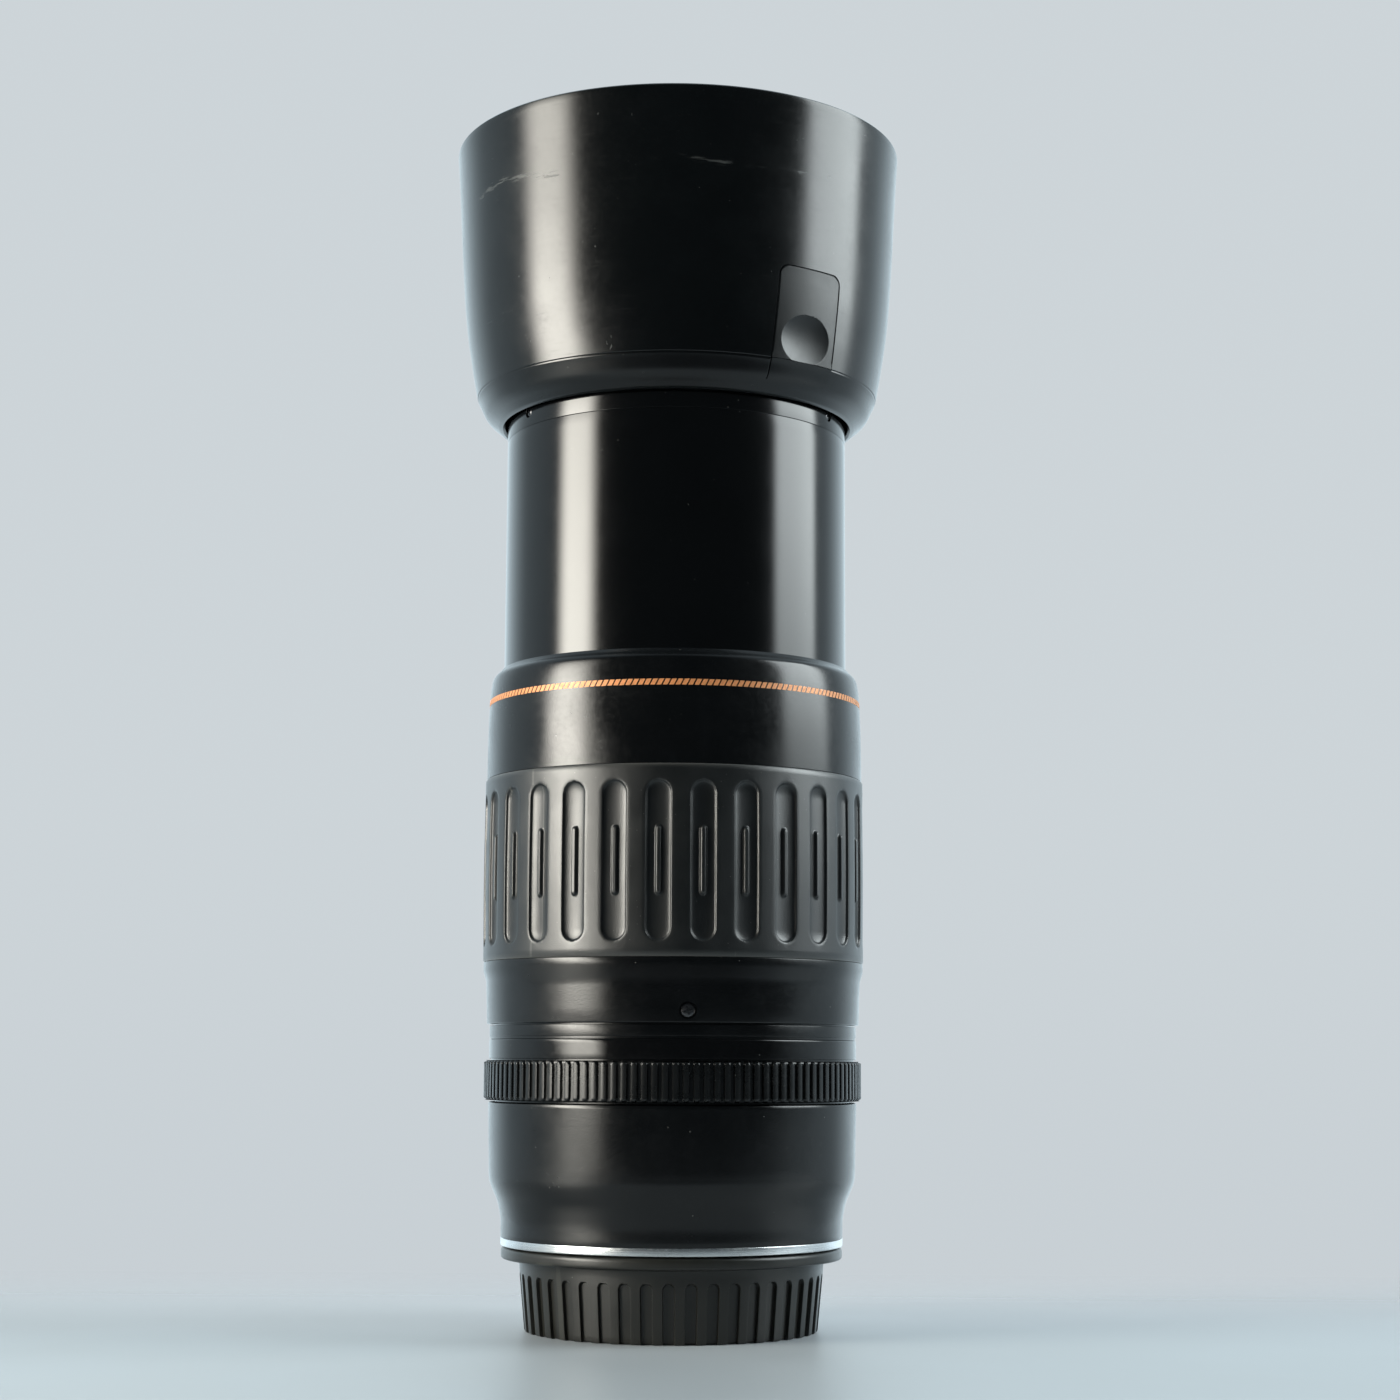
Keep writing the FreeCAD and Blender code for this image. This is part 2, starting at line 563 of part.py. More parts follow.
def front_ring_screws():
    screw = cross_head_screw(FRONT_SCREW_HEAD, 0.55, 32.65, 33.2, 32.05)
    screw.translate(Vector(0, 0, FRONT_SCREW_Z))
    return group(around(screw, 3, FRONT_SCREW_AZIMUTH))


FRONT_LENS_RADIUS = 27.0
FRONT_SEAT_Z = 149.5
RETAINER_Z = 157.5


def front_lens_cell():
    outer = TUBE_INNER - 0.1
    return revolve((25.0, 147.5), (outer, 147.5), (outer, 160.3), (28.6, 160.3),
                   (28.6, RETAINER_Z), (FRONT_LENS_RADIUS + SEAM_GAP, RETAINER_Z),
                   (FRONT_LENS_RADIUS + SEAM_GAP, FRONT_SEAT_Z), (25.0, FRONT_SEAT_Z))


def front_elements():
    """A cemented pair behind the front surface, and a single element behind it."""
    return group([lens(FRONT_LENS_RADIUS, 154.6, 155.8, 157.2, 160.0),
                  lens(FRONT_LENS_RADIUS, 153.2, 153.6, 155.8, 154.6),
                  lens(FRONT_LENS_RADIUS, 149.2, 149.6, 150.8, 152.6)])


def front_retaining_ring():
    """Screwed ring in front of the glass, with a sloping face."""
    low = RETAINER_Z + 0.1
    return revolve((26.0, low), (28.55, low), (28.55, 160.3), (28.1, 160.3), (26.0, low + 0.8))


# ---- middle group and iris -------------------------------------------------------------
LENS_TUBE_INNER = 14.0
LENS_TUBE_OUTER = 15.5


def middle_lens_cell():
    outer = MIDDLE_CELL_RADIUS
    wall = outer - 1.6
    body = revolve((LENS_TUBE_INNER, MIDDLE_CELL_BASE), (LENS_TUBE_OUTER, MIDDLE_CELL_BASE),
                   (LENS_TUBE_OUTER, 79.5), (wall, 79.5), (wall, MIDDLE_CELL_BASE),
                   (outer, MIDDLE_CELL_BASE), (outer, MIDDLE_CELL_TOP), (wall, MIDDLE_CELL_TOP),
                   (wall, 81.5), (LENS_TUBE_OUTER, 81.5), (LENS_TUBE_OUTER, 85.5),
                   (LENS_TUBE_INNER, 85.5))
    return body.cut(around(radial_rod(ZOOM_PIN_RADIUS, wall - 1, 32, MIDDLE_PIN_Z),
                           3, MIDDLE_PIN_AZIMUTH))


def middle_elements():
    radius = LENS_TUBE_INNER - SEAM_GAP
    return group([lens(radius, 80.6, 81.4, 82.6, 84.4),
                  lens(radius, 78.4, 77.4, 80.4, 79.6),
                  lens(radius, 74.0, 74.8, 76.0, 77.2)])


def middle_cam_pins():
    wall = MIDDLE_CELL_RADIUS - 1.6
    return group(around(radial_rod(ZOOM_PIN_RADIUS, wall, CAM_OUTER - 0.05, MIDDLE_PIN_Z),
                        3, MIDDLE_PIN_AZIMUTH))


IRIS_PLATE_TOP = IRIS_PLATE_Z + 1.0
IRIS_STACK_BASE = IRIS_PLATE_TOP + 0.05
IRIS_RING_BASE = IRIS_STACK_BASE + IRIS_BLADES * BLADE_PITCH + 0.08
IRIS_RING_TOP = IRIS_RING_BASE + 1.0
IRIS_PIN = 0.4


def iris_plate():
    outer = MIDDLE_CELL_RADIUS - 1.6 - SEAM_GAP
    body = ring(LENS_TUBE_OUTER, outer, IRIS_PLATE_Z, IRIS_PLATE_TOP)
    rail = ring(24.9, 25.6, IRIS_PLATE_TOP, IRIS_RING_TOP)
    hole = Part.makeCylinder(IRIS_PIN + 0.05, 3, Vector(IRIS_PIVOT_RADIUS, 0, IRIS_PLATE_Z - 1))
    return body.fuse(rail).cut(around(hole, IRIS_BLADES, 0))


def iris_drive_ring():
    """Ring with one short radial slot for each blade's drive pin."""
    body = ring(19.0, 24.85, IRIS_RING_BASE, IRIS_RING_TOP)
    width = 2 * IRIS_PIN + 0.2
    radius = IRIS_PIVOT_RADIUS + IRIS_ARM
    slot = Part.makeBox(1.6, width, 3, Vector(radius - 0.9, -width / 2, IRIS_RING_BASE - 1))
    offset = math.degrees(math.asin(IRIS_ARM * math.sin(math.radians(IRIS_SWING / 2)) / radius))
    return body.cut(around(slot, IRIS_BLADES, offset))


def iris_blade(number):
    """A thin crescent in its own layer, with a pivot pin below and a drive pin above. Drawn fully open."""
    low = IRIS_STACK_BASE + number * BLADE_PITCH
    inner = 14.7
    outer = 19.3
    crescent = Part.makeCylinder(outer, BLADE_THICKNESS, Vector(0, 0, low), UP, 72)
    crescent = crescent.cut(Part.makeCylinder(inner, BLADE_THICKNESS, Vector(0, 0, low)))
    crescent.rotate(ORIGIN, UP, -72)
    pivot = Vector(IRIS_PIVOT_RADIUS, 0, 0)
    tab = Part.makeBox(IRIS_ARM + 3.2, 1.8, BLADE_THICKNESS, Vector(-2.6, -0.9, low))
    tab.rotate(ORIGIN, UP, IRIS_SWING / 2)
    tab.translate(pivot)
    pivot_pin = Part.makeCylinder(IRIS_PIN, low - IRIS_PLATE_Z, pivot + Vector(0, 0, IRIS_PLATE_Z + 0.02))
    angle = math.radians(IRIS_SWING / 2)
    drive = pivot + Vector(IRIS_ARM * math.cos(angle), IRIS_ARM * math.sin(angle), low)
    drive_pin = Part.makeCylinder(IRIS_PIN, IRIS_RING_TOP - low - 0.1, drive)
    return at_azimuth(crescent.fuse([tab, pivot_pin, drive_pin]), 360.0 * number / IRIS_BLADES)


# ---- hood ---------------------------------------------------------------------------------
COLLAR_INNER = 33.9
COLLAR_OUTER = 34.7
COLLAR_TOP = 168.4
LINER_BASE = 168.5


def button_prism(margin, low):
    """A block along +X with rounded top corners: the opening for a release button."""
    half = BUTTON_HALF_WIDTH - margin
    top = BUTTON_TOP - margin
    corner = 2.0
    face = Part.Face(Part.Wire([
        Part.makeLine(Vector(30, -half, low), Vector(30, half, low)),
        Part.makeLine(Vector(30, half, low), Vector(30, half, top - corner)),
        Part.Arc(Vector(30, half, top - corner),
                 Vector(30, half - corner * (1 - math.sqrt(0.5)), top - corner * (1 - math.sqrt(0.5))),
                 Vector(30, half - corner, top)).toShape(),
        Part.makeLine(Vector(30, half - corner, top), Vector(30, corner - half, top)),
        Part.Arc(Vector(30, corner - half, top),
                 Vector(30, corner * (1 - math.sqrt(0.5)) - half, top - corner * (1 - math.sqrt(0.5))),
                 Vector(30, -half, top - corner)).toShape(),
        Part.makeLine(Vector(30, -half, top - corner), Vector(30, -half, low))]))
    return face.extrude(Vector(20, 0, 0))


def hood_body():
    """The upper part of the hood, before its button openings are cut."""
    wall = HOOD_WALL
    return revolve((39.39 - wall, HOOD_SEAM), (39.39, HOOD_SEAM),
                   ("curve", (40.48, 169.8), (41.66, 177.9), (42.5, 188.0), (43.43, 204.5),
                    (43.93, HOOD_TOP - 0.6)),
                   ("arc", (43.93 - wall / 2, HOOD_TOP), (43.93 - wall, HOOD_TOP - 0.6)),
                   ("curve", (43.43 - wall, 204.5), (42.5 - wall, 188.0), (41.66 - wall, 177.9),
                    (40.48 - wall, 169.8), (39.39 - wall, HOOD_SEAM)))


def hood_shell():
    openings = [at_azimuth(button_prism(0, HOOD_SEAM - 1), azimuth)
                for azimuth in (BUTTON_AZIMUTH, BUTTON_AZIMUTH + 180)]
    return hood_body().cut(openings)


def hood_button(azimuth):
    """A panel of the hood wall with a thumb dimple outside and a short foot inside."""
    panel = hood_body().common(button_prism(0.12, HOOD_SEAM + 0.05))
    dimple_radius = 11.5
    dimple_depth = 1.0
    surface = 39.95
    dimple = Part.makeSphere(dimple_radius, Vector(surface - dimple_depth + dimple_radius, 0, 167.6))
    foot = radial_box(36.95, 38.6, 6.0, 164.8, 166.8)
    return at_azimuth(panel.cut(dimple).fuse(foot), azimuth)


def hood_rear_ring():
    """Rounded rear lip and the collar that slides over the front ring."""
    seam = HOOD_SEAM - 0.08
    body = revolve((COLLAR_INNER, 158.2), (COLLAR_INNER + 0.4, 157.8),
                   ("curve", (35.9, 158.8), (37.06, 159.75), (37.93, 160.75), (38.86, 162.7), (39.38, seam)),
                   (39.38 - HOOD_WALL, seam), (36.9, 162.0), (35.4, 160.7), (COLLAR_OUTER, 160.5),
                   (COLLAR_OUTER, COLLAR_TOP), (COLLAR_INNER, COLLAR_TOP))
    window = sector(33, 36, 164.8, 166.4, 6.0)
    return body.cut([at_azimuth(window, BUTTON_AZIMUTH + 90), at_azimuth(window, BUTTON_AZIMUTH - 90)])


def hood_liner():
    """Inner cone between the collar and the hood wall, which hides the catch."""
    wall = 0.8
    return revolve((COLLAR_INNER, LINER_BASE), (35.3, LINER_BASE), (37.6, 180.0), (38.3, 183.5),
                   (40.75, 187.5), (40.8, 188.3), (40.2, 188.3), (37.6, 184.0), (36.9, 180.6),
                   (COLLAR_INNER + 0.3, LINER_BASE + wall), (COLLAR_INNER, LINER_BASE + wall))


def hood_spring_ring():
    """Springy ring that the buttons squeeze, with two claws for the groove of the front ring."""
    body = ring(34.95, 35.65, 164.9, 168.0)
    claw = sector(33.4, 35.2, 165.0, 166.2, 5.0)
    return body.fuse([at_azimuth(claw, BUTTON_AZIMUTH + 90), at_azimuth(claw, BUTTON_AZIMUTH - 90)])


# ---- rear cap --------------------------------------------------------------------------------
def rear_cap():
    """Bayonet cap: a round rim, a ribbed tapering body and three inner claws."""
    rim_top = -0.15
    body = revolve((27.1, rim_top), (31.5, rim_top), ("arc", (32.2, -0.5), (32.3, -1.2)),
                   ("arc", (32.05, -2.0), (31.3, -2.4)), (29.2, -2.6), (28.8, -3.2), (28.66, -5.6),
                   (27.7, CAP_BOTTOM + 0.3), (27.4, CAP_BOTTOM), (0, CAP_BOTTOM),
                   (0, CAP_BOTTOM + 1.5), (25.8, CAP_BOTTOM + 1.5), (26.1, -6.5), (27.1, -6.5))
    groove_top = -5.1
    groove_bottom = CAP_BOTTOM - 3
    groove = radial_pill(28.0, 31.0, CAP_GROOVE_WIDTH, groove_bottom, groove_top)
    groove = groove.rotate(Vector(28.66, 0, groove_top), Vector(0, 1, 0), 5.4)
    body = body.cut(around(groove, CAP_GROOVES, -0.35))
    claws = around(sector(25.6, 27.3, -3.2, -1.7, 20.0), 3, 60)
    return body.fuse(claws)


# ---- export ---------------------------------------------------------------------------------------
def build():
    parts = {
        "mount_flange": mount_flange(),
        "mount_screws": mount_screws(),
        "contact_block": contact_block(),
        "contact_pins": contact_pins(),
        "rear_barrel": rear_barrel(),
        "distance_window": distance_window(),
        "switch_plate": switch_plate(),
        "switch_knob": switch_knob(),
        "focus_guide_sleeve": focus_guide_sleeve(),
        "circuit_board": circuit_board(),
        "disc_spring": disc_spring(),
        "motor_stator": motor_stator(),
        "motor_rotor": motor_rotor(),
        "roller_carrier": roller_carrier(),
        "distance_scale": distance_scale(),
        "focus_cam_ring": focus_cam_ring(),
        "focus_ring": focus_ring(),
        "manual_ring": manual_ring(),
        "focus_lens_cell": focus_lens_cell(),
        "rear_elements": rear_elements(),
        "focus_cam_pins": focus_cam_pins(),
        "base_frame": base_frame(),
        "index_ring": index_ring(),
        "spacer_ring": spacer_ring(),
        "guide_barrel": guide_barrel(),
        "cam_barrel": cam_barrel(),
        "zoom_ring": zoom_ring(),
        "zoom_ring_screws": zoom_ring_screws(),
        "zoom_grip": zoom_grip(),
        "felt_seal": felt_seal(),
        "front_tube": front_tube(),
        "front_cam_pins": front_cam_pins(),
        "front_ring": front_ring(),
        "front_ring_screws": front_ring_screws(),
        "front_lens_cell": front_lens_cell(),
        "front_elements": front_elements(),
        "front_retaining_ring": front_retaining_ring(),
        "middle_lens_cell": middle_lens_cell(),
        "middle_elements": middle_elements(),
        "middle_cam_pins": middle_cam_pins(),
        "iris_plate": iris_plate(),
        "iris_drive_ring": iris_drive_ring(),
        "hood_shell": hood_shell(),
        "hood_rear_ring": hood_rear_ring(),
        "hood_liner": hood_liner(),
        "hood_spring_ring": hood_spring_ring(),
        "hood_button_right": hood_button(BUTTON_AZIMUTH),
        "hood_button_left": hood_button(BUTTON_AZIMUTH + 180),
        "rear_cap": rear_cap(),
    }
    for number in range(ROLLER_COUNT):
        parts[f"drive_roller_{number + 1}"] = drive_roller(number)
    for number in range(IRIS_BLADES):
        parts[f"iris_blade_{number + 1}"] = iris_blade(number)
    return parts


os.makedirs("parts", exist_ok=True)
for name, shape in build().items():
    shape.exportStep(f"parts/{name}.step")
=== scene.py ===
import json
import math

import bmesh
import bpy
import numpy as np
from mathutils import Matrix, Vector


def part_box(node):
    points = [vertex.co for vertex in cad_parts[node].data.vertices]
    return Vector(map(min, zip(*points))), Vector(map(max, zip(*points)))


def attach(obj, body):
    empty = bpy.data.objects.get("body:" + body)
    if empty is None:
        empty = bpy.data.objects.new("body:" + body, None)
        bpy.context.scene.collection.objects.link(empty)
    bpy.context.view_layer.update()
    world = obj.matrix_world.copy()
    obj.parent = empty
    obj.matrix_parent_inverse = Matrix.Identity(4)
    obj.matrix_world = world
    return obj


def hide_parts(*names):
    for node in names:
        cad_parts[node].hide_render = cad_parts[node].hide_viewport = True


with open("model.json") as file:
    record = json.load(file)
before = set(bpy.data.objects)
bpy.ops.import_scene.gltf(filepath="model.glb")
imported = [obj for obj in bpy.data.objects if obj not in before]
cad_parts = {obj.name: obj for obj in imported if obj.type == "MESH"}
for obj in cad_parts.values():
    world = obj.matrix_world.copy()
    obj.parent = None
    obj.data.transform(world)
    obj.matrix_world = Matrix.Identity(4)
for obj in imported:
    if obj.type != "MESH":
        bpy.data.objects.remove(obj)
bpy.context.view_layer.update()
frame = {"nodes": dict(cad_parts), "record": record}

# Looks for a telephoto zoom lens that stands on its rear cap. Sizes in this file are millimetres
# and azimuths are degrees about +Z, counted from -Y towards +X. Meshes are made in metres.

MM = 0.001
SHARP_ANGLE = 32.0


# ---- sizes read from the frame ---------------------------
def extent(node):
    """(radius, bottom, top) of a round CAD node."""
    low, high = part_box(node)
    return max(high.x, high.y, -low.x, -low.y) / MM, low.z / MM, high.z / MM


HOOD_RADIUS, HOOD_SEAM, HOOD_TOP = extent("hood_shell")
LIP_RADIUS, LIP_BASE, COLLAR_TOP = extent("hood_rear_ring")
FRONT_RADIUS, RING_SEAM, FRONT_TOP = extent("front_ring")
TUBE_RADIUS, TUBE_BASE, TUBE_TOP = extent("front_tube")
ZOOM_RADIUS, ZOOM_BASE, ZOOM_TOP = extent("zoom_ring")
GRIP_RADIUS, GRIP_BASE, GRIP_TOP = extent("zoom_grip")
SPACER_RADIUS, SPACER_BASE, SPACER_NECK_TOP = extent("spacer_ring")
INDEX_RADIUS, INDEX_BASE, INDEX_TOP = extent("index_ring")
FOCUS_RADIUS, FOCUS_BASE, FOCUS_TOP = extent("focus_ring")
BARREL_RADIUS, BARREL_BASE, NECK_TOP = extent("rear_barrel")
FLANGE_RADIUS, BAYONET_BASE, FLANGE_TOP = extent("mount_flange")
CAP_BASE, CAP_TOP = extent("rear_cap")[1:]
RETAINER_RADIUS, RETAINER_BASE, RETAINER_TOP = extent("front_retaining_ring")
SCALE_RADIUS, SCALE_BASE, SCALE_TOP = extent("distance_scale")
LINER_BASE, LINER_TOP = extent("hood_liner")[1:]

# ---- sizes that the boxes don't give ---------------------
HOOD_WALL = 1.6
BUTTON_AZIMUTH = 37.6
BUTTON_HALF_WIDTH = 7.3
BUTTON_TOP = 181.0
BUTTON_GAP = 0.12
COLLAR_INNER = 33.9
COLLAR_OUTER = 34.7
TUBE_INNER = 32.0
FILTER_RADIUS = 29.0
ZOOM_INNER = 34.2
GRIP_SEAT = 35.0
GRIP_COUNT = 28
GRIP_FIRST = 9.0
FOCUS_COUNT = 120
FOCUS_FIRST = 1.5
CAP_COUNT = 44
CAP_FIRST = -0.35
CAP_GROOVE_RADIUS = 28.3
NECK_INNER = 33.15
NECK_OUTER = 33.95
INDEX_INNER = 34.1
WINDOW_AZIMUTH = -110.0
SWITCH_AZIMUTH = 170.0
ZOOM_TURN = 70.0


# ---- outline helpers -------------------------------------
def at_height(rule, height):
    """Reads a rule, which is a plain number or a function of the height."""
    return rule(height) if callable(rule) else rule


def through(points, steps=6):
    """A smooth run of points through the given (radius, height) points."""
    p = [np.array(point, float) for point in points]
    p = [2 * p[0] - p[1]] + p + [2 * p[-1] - p[-2]]
    run = []
    for k in range(1, len(p) - 2):
        for t in np.arange(steps) / steps:
            run.append(tuple(0.5 * (2 * p[k] + (p[k + 1] - p[k - 1]) * t
                                    + (2 * p[k - 1] - 5 * p[k] + 4 * p[k + 1] - p[k + 2]) * t ** 2
                                    + (3 * p[k] - p[k - 1] - 3 * p[k + 1] + p[k + 2]) * t ** 3)))
    return run + [tuple(p[-2])]


def rounded(points, steps=4):
    """A closed outline whose corners (radius, height, rounding) are rounded where a rounding is given."""
    run = []
    for k, point in enumerate(points):
        corner = np.array(point[:2], float)
        if len(point) < 3:
            run.append(tuple(corner))
            continue
        before = np.array(points[k - 1][:2], float) - corner
        after = np.array(points[(k + 1) % len(points)][:2], float) - corner
        start = corner + before / np.linalg.norm(before) * point[2]
        end = corner + after / np.linalg.norm(after) * point[2]
        for t in np.linspace(0, 1, steps + 1):
            run.append(tuple((1 - t) ** 2 * start + 2 * t * (1 - t) * corner + t ** 2 * end))
    return run


def finer(points, step):
    """A closed outline with extra points, so that no stretch is longer than the rule step allows."""
    run = []
    for k, here in enumerate(points):
        there = points[(k + 1) % len(points)]
        length = math.dist(here, there)
        parts = max(1, math.ceil(length / 0.5))
        marks = [0.0]
        for part in range(parts):
            height = here[1] + (there[1] - here[1]) * (part + 0.5) / parts
            pieces = max(1, math.ceil(length / parts / at_height(step, height)))
            marks += list(part / parts + np.arange(1, pieces + 1) / pieces / parts)
        keep = [0.0]
        for mark in marks[1:-1]:
            height = here[1] + (there[1] - here[1]) * mark
            if (mark - keep[-1]) * length >= 0.99 * at_height(step, height):
                keep.append(mark)
        run += [(here[0] + (there[0] - here[0]) * m, here[1] + (there[1] - here[1]) * m) for m in keep]
    return run


def even_angles(count=480, spots=()):
    """Azimuths at even steps, with finer steps round each (azimuth, half width, step) spot."""
    angles = [np.arange(count) * 360.0 / count]
    for azimuth, half, step in spots:
        angles.append(np.arange(azimuth - half, azimuth + half + step / 2, step) % 360)
    angles = np.sort(np.concatenate(angles))
    keep = np.append(True, np.diff(angles) > 0.02)
    return angles[keep]


def pitch_angles(count, first, across, radius):
    """Azimuths at the same distances across, and half a pitch, either side of each of count places."""
    offsets = np.append(np.degrees(across / radius), 180.0 / count)
    offsets = np.concatenate([-offsets[::-1], offsets])
    angles = (first + 360.0 * np.arange(count)[:, None] / count + offsets[None, :]) % 360
    angles = np.sort(angles.ravel())
    return angles[np.append(True, np.diff(angles) > 0.005)]


def step_up(low, high, value):
    """0 below low, 1 above high and a smooth rise between."""
    t = np.clip((value - low) / (high - low), 0, 1)
    return t * t * (3 - 2 * t)


def off_centre(azimuth, count, first):
    """Degrees from the nearest of count even places."""
    pitch = 360.0 / count
    return (azimuth - first + pitch / 2) % pitch - pitch / 2


def pill_distance(across, height, half_width, low, high):
    """How far a point lies outside an upright slot with round ends; negative inside."""
    beyond = np.maximum(np.abs(height - (low + high) / 2) - (high - low) / 2 + half_width, 0)
    return np.hypot(across, beyond) - half_width


# ---- mesh helpers ----------------------------------------
def add_object(name, data):
    made = bpy.data.objects.new(name, data)
    bpy.context.scene.collection.objects.link(made)
    return made


def new_mesh(name, points, faces):
    mesh = bpy.data.meshes.new(name)
    mesh.from_pydata(points, [], faces)
    return mesh


def mesh_of(name, work):
    """A mesh made from a bmesh, which is then freed."""
    mesh = bpy.data.meshes.new(name)
    work.to_mesh(mesh)
    work.free()
    return mesh


def weld(mesh):
    """Merges points that lie in one place."""
    work = bmesh.new()
    work.from_mesh(mesh)
    bmesh.ops.remove_doubles(work, verts=work.verts, dist=1e-7)
    work.to_mesh(mesh)
    work.free()


def dress(mesh, material, sharp):
    """Smooth faces with sharp edges, in one material."""
    mesh.shade_smooth()
    mesh.set_sharp_from_angle(angle=math.radians(sharp))
    mesh.materials.clear()
    mesh.materials.append(material)


def finish_mesh(name, mesh, material, sharp=SHARP_ANGLE):
    mesh.validate()
    dress(mesh, material, sharp)
    return add_object(name, mesh)


def lathe(name, outline, azimuths, material, relief=None, sharp=SHARP_ANGLE):
    """A closed mesh made by turning an outline. relief(radius, height, azimuth) is how far a point sinks."""
    area = sum(a[0] * b[1] - b[0] * a[1] for a, b in zip(outline, outline[1:] + outline[:1]))
    if area < 0:
        outline = outline[::-1]
    radius = np.array([point[0] for point in outline])[:, None]
    height = np.array([point[1] for point in outline])[:, None]
    angle = np.radians(azimuths)[None, :]
    sunk = radius + 0 * angle
    if relief is not None:
        sunk = sunk - relief(radius, height, azimuths[None, :])
    rows, columns = sunk.shape
    points = np.stack([sunk * np.sin(angle), -sunk * np.cos(angle), height + 0 * angle], -1) * MM
    row, column = np.meshgrid(np.arange(rows), np.arange(columns), indexing="ij")
    next_row, next_column = (row + 1) % rows, (column + 1) % columns
    quads = np.stack([row * columns + column, row * columns + next_column,
                      next_row * columns + next_column, next_row * columns + column], -1)
    mesh = new_mesh(name, points.reshape(-1, 3).tolist(), quads.reshape(-1, 4).tolist())
    if radius.min() < 1e-6:
        weld(mesh)
    return finish_mesh(name, mesh, MATERIAL[material], sharp)


def curved_plate(name, material, azimuth, half_width, low, high, corners, inner, outer,
                 columns, rows, sink=None):
    """A closed panel with parallel sides that follows the barrel. corners are the roundings of its low and
    high corners, inner and outer are rules for its radius, and sink(across, height, edge) is a depth."""
    across = half_width * np.sin(np.linspace(-math.pi / 2, math.pi / 2, columns))

    def reach(corner):
        over = np.clip(np.abs(across) - (half_width - corner), 0, corner)
        return corner - np.sqrt(np.maximum(corner ** 2 - over ** 2, 0))

    bottom = low + reach(corners[0])
    top = high - reach(corners[1])
    share = (1 - np.cos(np.linspace(0, math.pi, rows))) / 2
    share = 0.6 * np.linspace(0, 1, rows) + 0.4 * share
    height = bottom[None, :] + (top - bottom)[None, :] * share[:, None]
    wide = across[None, :] + 0 * height
    edge = np.minimum(np.minimum(height - bottom, top - height), half_width - np.abs(wide))
    outside = at_height(outer, height) + 0 * height
    if sink is not None:
        outside = outside - sink(wide, height, edge)
    turn = math.radians(azimuth)
    sheets = []
    for radius in (outside, at_height(inner, height) + 0 * height):
        along = np.sqrt(radius ** 2 - wide ** 2)
        sheets.append(np.stack([along * math.sin(turn) + wide * math.cos(turn),
                                wide * math.sin(turn) - along * math.cos(turn), height], -1))
    points = np.concatenate([sheet.reshape(-1, 3) for sheet in sheets]) * MM
    count = rows * columns
    faces = []
    for r in range(rows - 1):
        for c in range(columns - 1):
            a = r * columns + c
            faces.append((a, a + 1, a + columns + 1, a + columns))
            faces.append((a + count, a + columns + count, a + columns + 1 + count, a + 1 + count))
    rim = (list(range(columns))
           + [r * columns + columns - 1 for r in range(1, rows)]
           + [(rows - 1) * columns + c for c in range(columns - 2, -1, -1)]
           + [r * columns for r in range(rows - 2, 0, -1)])
    for a, b in zip(rim, rim[1:] + rim[:1]):
        faces.append((b, a, a + count, b + count))
    return finish_mesh(name, new_mesh(name, points.tolist(), faces), MATERIAL[material])


def softened(depth, reach):
    """A sink rule that rounds off a panel's edge."""
    return lambda across, height, edge: depth * (1 - step_up(0.0, reach, edge))


def turned_to(direction):
    """The rotation that turns +Z to a direction."""
    return Vector(direction).to_track_quat("Z", "Y").to_matrix().to_4x4()


def rod(name, material, radius, start, end, sides=48):
    """A round rod between two points."""
    axis = Vector(end) - Vector(start)
    work = bmesh.new()
    bmesh.ops.create_cone(work, cap_ends=True, segments=sides, radius1=radius * MM, radius2=radius * MM,
                          depth=axis.length * MM)
    middle = Matrix.Translation((Vector(start) + Vector(end)) / 2 * MM)
    bmesh.ops.transform(work, matrix=middle @ turned_to(axis), verts=work.verts)
    return finish_mesh(name, mesh_of(name, work), MATERIAL[material])


def combine(target, tools, operation):
    """Applies an exact boolean of each tool to the target, and removes the tools."""
    for tool in tools:
        modifier = target.modifiers.new("cut", "BOOLEAN")
        modifier.operation = operation
        modifier.solver = "EXACT"
        modifier.object = tool
    graph = bpy.context.evaluated_depsgraph_get()
    mesh = bpy.data.meshes.new_from_object(target.evaluated_get(graph))
    material = target.data.materials[0]
    target.modifiers.clear()
    target.data = mesh
    dress(mesh, material, SHARP_ANGLE)
    for polygon in mesh.polygons:
        polygon.material_index = 0
    for tool in tools:
        bpy.data.objects.remove(tool)
    return target


def join(name, objects):
    """One object that holds the closed shells of several."""
    work = bmesh.new()
    for item in objects:
        work.from_mesh(item.data)
    mesh = mesh_of(name, work)
    material = objects[0].data.materials[0]
    for item in objects:
        bpy.data.objects.remove(item)
    return finish_mesh(name, mesh, material)


def at(azimuth, radius, height):
    """The point at an azimuth, a radius and a height."""
    turn = math.radians(azimuth)
    return (radius * math.sin(turn), -radius * math.cos(turn), height)


def label(name, text, size, radius, azimuth, height):
    """Raised print: white characters wrapped round the barrel, upright when the lens stands on its mount."""
    curve = bpy.data.curves.new(name, "FONT")
    curve.body = text
    curve.size = size
    curve.extrude = 0.04
    curve.align_x = "CENTER"
    curve.align_y = "CENTER"
    holder = add_object(name, curve)
    bpy.context.view_layer.update()
    mesh = bpy.data.meshes.new_from_object(holder.evaluated_get(bpy.context.evaluated_depsgraph_get()))
    bpy.data.objects.remove(holder)
    for vertex in mesh.vertices:
        x, y, z = vertex.co
        vertex.co = Vector(at(azimuth + math.degrees(x / radius), radius + z, height + y)) * MM
    weld(mesh)
    return finish_mesh(name, mesh, MATERIAL["white_print"])


